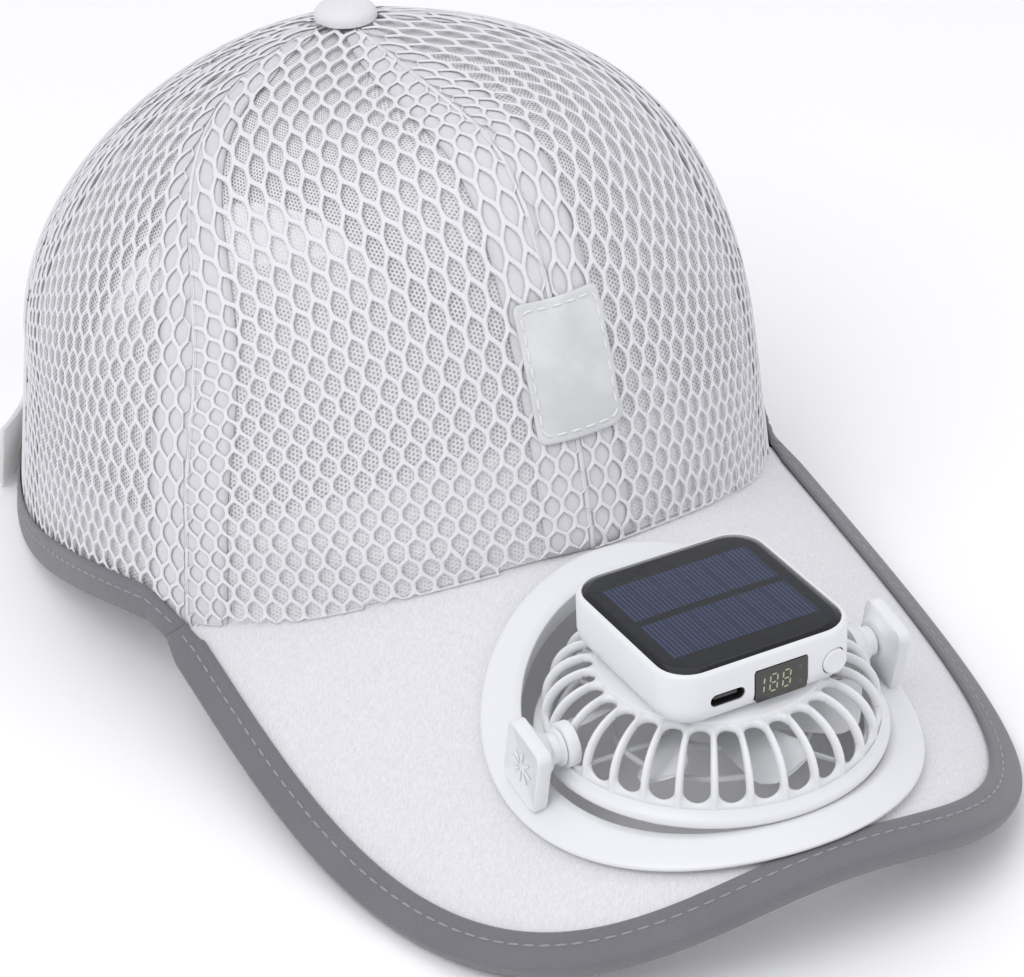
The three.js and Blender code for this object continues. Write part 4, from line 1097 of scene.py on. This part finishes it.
def dome_shell():
    """Dome cut by slots: each equal sector is filled by rings from its straight border to a long slot
    with round ends, over the outside, round the slot's lip and back over the inside."""
    point, full, skirt = dome_wall()
    half = PI / HOUSING.ribs
    wide = HOUSING.slot_share * half
    low, high = skirt - HOUSING.slot_foot, full - HOUSING.slot_top
    up, over = np.arange(14) / 14, 1 - np.arange(8) / 4
    border = np.concatenate([np.stack(np.broadcast_arrays(x, y), -1)
                             for x, y in ((1.0, up), (over, 1.0), (-1.0, 1 - up), (-over, 0.0))])
    bx, by = border[:, 0] * half, border[:, 1] * full
    mid, cap = (low + high) / 2, wide * HOUSING.outer
    a = np.arctan2((by - mid) / (full / 2), border[:, 0])
    slot_x = wide * np.sign(np.cos(a)) * np.minimum(1, np.maximum(np.abs(np.cos(a)), 1e-9) * 1.35)
    lean = np.sqrt(np.clip(1 - (slot_x / wide) ** 2, 0, 1))
    slot_y = mid + np.sign(np.sin(a)) * ((high - low) / 2 - cap + cap * lean)
    slot_y = np.where(np.abs(slot_x) > wide * 0.999, np.clip(by, low + cap, high - cap), slot_y)
    shares = np.array([0.0, 0.25, 0.5, 0.75, 0.93, 1.0, 1.0, 0.9, 0.6, 0.0])[:, None]
    inward = np.array([0.0, 0.04, 0.16, 0.42, 0.85, 1.15, 1.5, 1.9, HOUSING.wall, HOUSING.wall])
    turn = (np.arange(HOUSING.ribs) + 0.5) * 2 * half
    x = turn[:, None, None] + bx + (slot_x - bx) * shares
    points = point(x, np.broadcast_to(by + (slot_y - by) * shares, x.shape), inward[None, :, None])
    return welded(points, points)


def housing():
    """The slotted shell, its flared sill, the plate on top and a boss for each pin."""
    o, w, low = HOUSING.outer, HOUSING.wall, HOUSING.bottom
    sill = lathe([(o - w, low), (o + 1.2, low), (o + 1.8, low + 0.5), (o + HOUSING.flare, low + 1.6),
                  (o + 1.3, low + 2.4), (o + 0.4, low + 3.2), (o - 0.1, low + 4.2), (o - w, low + 0.3)],
                 120, loop=True)
    edge, top = HOUSING.plate - HOUSING.plate_edge, CASE.bottom - GAP
    lid = lathe([(0.5, top), (edge + 0.2, top), (edge + 0.7, top - 0.5), (edge + 0.7, HOUSING.plate_z),
                 (0.5, HOUSING.plate_z)], 120)
    boss = [(o - w, neck + 0.9), (o + 0.2, neck + 0.9), (o + 0.6, neck + 0.5), (o + 0.6, neck * 0.5)]
    return together([dome_shell(), sill, lid, x_lathe(boss, 1), x_lathe(boss, -1)])


put("fan_dome", housing(), in_unit, WHITE_PLASTIC, "fan_unit", ("fan_housing",), sharp=50)


def torus(radius, bar, z, count=96):
    """Ring of round bar."""
    a = around(10)
    return lathe(np.stack([radius + bar * np.cos(a), z + bar * np.sin(a)], -1), count, loop=True)


def guard():
    """Rings and spokes of round bar across the underside."""
    z = GUARD.bottom + GUARD.height / 2
    half = GUARD.bar / 2
    outer = HOUSING.outer - HOUSING.wall - GAP - 0.1 - half
    forms = [torus(r, half, z) for r in (outer,) + GUARD.rings]
    a = around(10)[None, :]
    r = np.array([GUARD.rings[0], outer])[:, None]
    y, h = half * 0.8 * np.cos(a), half * 0.8 * np.sin(a)
    for turn in around(GUARD.spokes):
        c, s = math.cos(turn), math.sin(turn)
        forms.append(rings(vec(r * c - y * s, r * s + y * c, z + h)))
    return together(forms)


put("fan_guard_bars", guard(), in_unit, WHITE_PLASTIC, "fan_unit", ("fan_guard",))
low, high, r = FAN.top + GAP, HOUSING.plate_z - GAP, MOTOR_RADIUS
motor = lathe([(1, high), (r, high), (r, low + 1.2), (r - 0.4, low + 0.4), (r - 1.2, low), (1, low)], 64)
put("fan_motor_can", motor, in_unit, FAN_PLASTIC, "fan_unit", ("fan_motor",), sharp=40)


def impeller():
    """Hub and blades: each chord turns from steep at the hub to flat at the tip, and sweeps back."""
    hub = lathe([(0.6, FAN.top), (FAN.hub - 0.8, FAN.top), (FAN.hub, FAN.top - 0.8),
                 (FAN.hub, FAN.bottom + 1.6), (FAN.hub - 1.6, FAN.bottom), (0.6, FAN.bottom)], 64)
    forms = [hub]
    s = np.linspace(0, 1, 18)[:, None]
    a = around(24)[None, :]
    r = FAN.hub - 1 + (FAN.tip - FAN.hub + 1) * s
    pitch = (48 - 22 * s) * DEG
    chord = 22 * (0.42 + 0.3 * s) * (1 - 0.35 * np.clip((s - 0.8) / 0.2, 0, 1) ** 2)
    half = np.minimum(chord / 2, (FAN.top - FAN.bottom - 1) / 2 / np.sin(pitch))
    across, thick = half * np.cos(a), 0.55 * np.sin(a) * np.abs(np.sin(a)) ** 0.2
    tangent = across * np.cos(pitch) - thick * np.sin(pitch)
    z = (FAN.bottom + FAN.top) / 2 + across * np.sin(pitch) + thick * np.cos(pitch)
    for turn in around(FAN.blades):
        angle = tangent / np.maximum(r, 12) + 0.25 * s + turn
        forms.append(rings(vec(r * np.cos(angle), r * np.sin(angle), z)))
    return together(forms)


put("impeller_blades", impeller(), in_unit, FAN_PLASTIC, "impeller", ("impeller",), sharp=50)


# Solar module.
def square_stack(layers):
    """Rounded squares of (half width, height) one over another, each corner keeping its centre."""
    def outline(half):
        return rounded_outline(half, half, max(CASE.corner - (CASE.half - half), 1.0), 128)
    return piled([(outline(half), z) for half, z in layers])


def soft_box(x, y, z, sx, sy, sz, corner=0.4):
    """Box with rounded edges along Y: a rounded rectangle carried from front to back."""
    p = rounded_outline(sx / 2, sz / 2, corner, 48)
    return rings(np.stack([vec(p[:, 0] + x, y + end, p[:, 1] + z) for end in (-sy / 2, sy / 2)]))


def y_lathe(x, z, profile, count=48):
    """Profile of (radius, y) turned about a line along Y."""
    a = around(count)
    return rings(np.stack([vec(x + r * np.cos(a), y, z + r * np.sin(a)) for r, y in profile]))


def carved(name, body_form, cutters, finish, nodes):
    """Body with cutters taken out of it, its result kept as a plain mesh."""
    scratch = []
    for form in [body_form] + cutters:
        mesh = bpy.data.meshes.new("scratch")
        points = in_unit(form[0])
        faces = [face for part in outward(points, form[1]) for face in part.tolist()]
        mesh.from_pydata(points.tolist(), [], faces)
        scratch.append(add("scratch", mesh))
    for cutter in scratch[1:]:
        modifier = scratch[0].modifiers.new("cut", "BOOLEAN")
        modifier.operation = "DIFFERENCE"
        modifier.solver = "EXACT"
        modifier.object = cutter
    bpy.context.view_layer.update()
    cut = scratch[0].evaluated_get(bpy.context.evaluated_depsgraph_get())
    result = bpy.data.meshes.new_from_object(cut)
    for old in scratch:
        mesh = old.data
        bpy.data.objects.remove(old)
        bpy.data.meshes.remove(mesh)
    result.name = name
    result.materials.clear()
    finished(name, result, finish, "fan_unit", nodes, 35)


H, B, T = CASE.half, CASE.bottom, CASE.top
case_layers = [(H - 4.2, B), (H - 3.0, B + 0.35), (H - 1.6, B + 1.3), (H - 0.6, B + 2.7),
               (H - 0.1, B + 4.2), (H, B + 5.2), (H, T - 1.2), (H - 0.15, T - 0.5), (H - 0.45, T - 0.12),
               (H - 0.7, T)]
recess = square_stack([(H - CASE.lip, T - 1.4), (H - CASE.lip, T + 2)])
slot_cut = soft_box(PORT.x, -H, PORT.z, PORT.width, PORT.depth * 2, PORT.height, PORT.height / 2 - 0.01)
window_cut = soft_box(DISPLAY.x, -H, DISPLAY.z, DISPLAY.width + GAP * 2, DISPLAY.depth * 2 + GAP * 2,
                      DISPLAY.height + GAP * 2, 0.5)
knob_cut = y_lathe(KNOB.x, KNOB.z, [(KNOB.radius + GAP, -H - 3), (KNOB.radius + GAP, -H + 3)])
carved("module_shell", square_stack(case_layers), [recess, slot_cut, window_cut, knob_cut], WHITE_PLASTIC,
       ("module_case",))


def panel_finish():
    """Dark cells under clear resin: two rows of navy with pale lines in groups, split by a dark bar."""
    f = Finish("solar_cells", (0.012, 0.014, 0.022), 0.16, specular_ior_level=0.3, coat_weight=0.3,
               coat_roughness=0.06)
    centre = in_unit(np.array([0.0, 0.0, T]))
    offset = f.node("VectorMath", {0: f.place(), 1: tuple(centre / MM)}, operation="SUBTRACT")
    x = f.node("SeparateXYZ", [offset])
    y = x.node.outputs[1]

    def within(value, low, high, soft=0.12):
        rise = f.span(value, low - soft, low + soft)
        fall = f.span(value, high - soft, high + soft, 1.0, 0.0)
        return f.math("MULTIPLY", rise, fall)
    rows = f.math("ADD", within(y, 1.2, 16.2), within(y, -16.2, -1.2))
    cells = f.math("MULTIPLY", rows, within(x, -19.2, 19.2))
    group = f.math("MODULO", f.math("ADD", x, 19.2 + 64), 6.4)
    lines = f.math("MODULO", f.math("ADD", x, 64.0), 1.07)
    line = f.math("MULTIPLY", within(lines, 0.3, 0.52, 0.07), within(group, 0.3, 5.9, 0.1))
    grain = f.noise(f.stretched((2.5, 0.4, 1)), 1.0, 3.0)
    navy = f.blend(grain, (0.008, 0.012, 0.030), (0.016, 0.024, 0.060))
    base = f.blend(cells, (0.004, 0.005, 0.008), navy)
    f.into("Base Color", f.blend(f.math("MULTIPLY", line, cells), base, (0.055, 0.075, 0.17)))
    f.bump(f.noise(f.place(), 0.25, 1.0), 0.12)
    return f.material


def domed_panel():
    """Resin pad: rounded squares that step in and up over a shallow dome."""
    half = H - CASE.lip - GAP
    t = np.linspace(0, 1, 12)
    layers = [(half, T - 1.1), (half, T - 0.35)]
    layers += [(half - 1.6 * s, T - 0.35 + 0.75 * math.sin(s * PI / 2)) for s in t[1:]]
    layers += [(half - 1.6 - (half - 4.5) * s, T + 0.4 + 0.25 * (1 - (1 - s) ** 2)) for s in t[1:]]
    outline = rounded_outline(half, half, CASE.corner - CASE.lip - GAP, 128)
    return piled([(outline * (size / half), z) for size, z in layers])


put("solar_cell_pad", domed_panel(), in_unit, panel_finish(), "fan_unit", ("solar_panel",), sharp=60)


def dark_finish(name, color, rough, **more):
    """Dark insert with a faint grain."""
    f = Finish(name, color, rough, **more)
    f.into("Base Color", f.blend(f.noise(f.place(), 0.8, 2.0), tuple(c * 0.7 for c in color), color))
    return f.material


WINDOW = dark_finish("display_glass", (0.022, 0.024, 0.018), 0.12, coat_weight=0.5, coat_roughness=0.05)
PORT_DARK = dark_finish("port_lining", (0.02, 0.02, 0.022), 0.45)
PORT_TONGUE = dark_finish("port_tongue", (0.08, 0.08, 0.085), 0.35)
DIGIT = dark_finish("digit_light", (0.50, 0.50, 0.33), 0.5)
ICON = dark_finish("icon_dim", (0.10, 0.105, 0.10), 0.5)


def insert(name, form, finish, nodes=(), sharp=30):
    """Small dark or lit part in the module's front."""
    put(name, form, in_unit, finish, "fan_unit", nodes, sharp=sharp)


face_y = -H
pane = soft_box(DISPLAY.x, face_y + DISPLAY.depth / 2, DISPLAY.z, DISPLAY.width, DISPLAY.depth,
                DISPLAY.height)
insert("display_pane", pane, WINDOW, ("display_window",))


def digits():
    """Seven-segment numbers on the display: six-cornered bars, leaning slightly."""
    # Across, up, and 1 for an upright bar.
    bars = {"a": (0, 1, 0), "b": (0.5, 0.5, 1), "c": (0.5, -0.5, 1), "d": (0, -1, 0), "e": (-0.5, -0.5, 1),
            "f": (-0.5, 0.5, 1), "g": (0, 0, 0)}
    wide, tall, thick = 1.9, 2.15, 0.2
    forms = []
    for number, centre in (("bc", -5.5), ("abcdefg", -2.0), ("abcdefg", 1.4)):
        for key in number:
            x, z, upright = bars[key]
            long = (tall if upright else wide) / 2 - 0.28
            flat = long - thick
            shape = np.array([(-long, 0), (-flat, thick), (flat, thick), (long, 0), (flat, -thick),
                              (-flat, -thick)])
            if upright:
                shape = shape[:, ::-1]
            pz = z * tall + shape[:, 1]
            px = DISPLAY.x + centre + x * wide + shape[:, 0] + pz * 0.08
            ends = (face_y - 0.04, face_y + 0.1)
            forms.append(rings(np.stack([vec(px, y, DISPLAY.z + pz) for y in ends])))
    return together(forms)


insert("display_digits", digits(), DIGIT)
icon_x, icon_up = DISPLAY.x + 5.0, 1.9
icons = together([y_lathe(icon_x, DISPLAY.z + icon_up, [(0.55, face_y - 0.03), (0.55, face_y + 0.1)], 24),
                  soft_box(icon_x, face_y + 0.03, DISPLAY.z - icon_up, 0.8, 0.12, 1.3, 0.2)])
insert("display_icons", icons, ICON)


def port_ring(inset, corner, y):
    """Outline of the charging slot at a depth."""
    p = rounded_outline(PORT.width / 2 - inset, PORT.height / 2 - inset, corner, 48)
    return vec(p[:, 0] + PORT.x, y, p[:, 1] + PORT.z)


mouth, back = face_y + 0.35, face_y + PORT.depth
insert("port_lining", soft_box(PORT.x, back - 0.2, PORT.z, PORT.width - 0.1, 0.3, PORT.height - 0.1, 1.5),
       PORT_DARK)
sleeve = [port_ring(0.02, 1.5, mouth), port_ring(0.02, 1.5, back), port_ring(0.3, 1.25, back),
          port_ring(0.3, 1.25, mouth)]
insert("port_sleeve", rings(np.stack(sleeve), loop=True), PORT_DARK, sharp=40)
insert("port_tongue", soft_box(PORT.x, face_y + 3.4, PORT.z, PORT.width - 3.0, 4.4, 0.7, 0.25), PORT_TONGUE)

r, front = KNOB.radius, face_y - KNOB.proud
knob = y_lathe(KNOB.x, KNOB.z, [(r * 0.3, front + 0.16), (r * 0.75, front + 0.06), (r - 0.45, front),
                                (r - 0.15, front + 0.1), (r, front + 0.35), (r, front + KNOB.depth)], 56)
put("power_button_cap", knob, in_unit, WHITE_PLASTIC, "power_button", ("power_button",), sharp=45)


# Stage, light and camera.
def stand(name, data, right, up, back, spot):
    """New lamp or camera at a spot, looking away from its back direction."""
    matrix = np.eye(4)
    matrix[:3] = np.stack([right, up, back, spot], -1)
    holder = add(name, data)
    holder.matrix_world = Matrix(matrix.tolist())
    return holder


def stage():
    """Pale floor, a large soft key from the front left, a fill and an overhead panel."""
    mesh = bpy.data.meshes.new("floor")
    s = 6.0
    mesh.from_pydata([(-s, -s, 0), (s, -s, 0), (s, s, 0), (-s, s, 0)], [], [(0, 1, 2, 3)])
    floor = add("floor", mesh)
    f = Finish("floor_pale", (0.985, 0.985, 0.985), 0.9)
    f.into("Base Color", f.blend(f.noise(f.place(), 0.01, 2.0), (0.98, 0.98, 0.98), (0.99, 0.99, 0.99)))
    mesh.materials.append(f.material)
    scene = bpy.context.scene
    scene.view_settings.view_transform = "Standard"
    scene.world = scene.world or bpy.data.worlds.new("studio")
    scene.world.use_nodes = True
    sky = scene.world.node_tree.nodes["Background"].inputs
    sky[0].default_value, sky[1].default_value = (0.95, 0.955, 1.0, 1), 0.70
    for name, size, power, spot, aim in LAMPS:
        lamp = bpy.data.lights.new(name, "AREA")
        lamp.size, lamp.energy = size, power
        back = unit(np.array(spot) - np.array(aim))
        right = unit(np.cross([0, 0, 1.0], back))
        stand(name, lamp, right, np.cross(back, right), back, spot)


def camera():
    """The photograph's view: azimuth, elevation and roll of the line of sight, from a solved place."""
    az, el, roll = VIEW.azimuth, VIEW.elevation, VIEW.roll
    back = np.array([math.sin(az) * math.cos(el), -math.cos(az) * math.cos(el), math.sin(el)])
    level = np.array([math.cos(az), math.sin(az), 0.0])
    rise = np.cross(back, level)
    right = math.cos(roll) * level + math.sin(roll) * rise
    up = math.cos(roll) * rise - math.sin(roll) * level
    data = bpy.data.cameras.new("camera")
    data.sensor_width, data.lens, data.clip_end = VIEW.film, VIEW.lens, 20
    bpy.context.scene.camera = stand("camera", data, right, up, back, in_seat(np.array(VIEW.spot)))


stage()
camera()
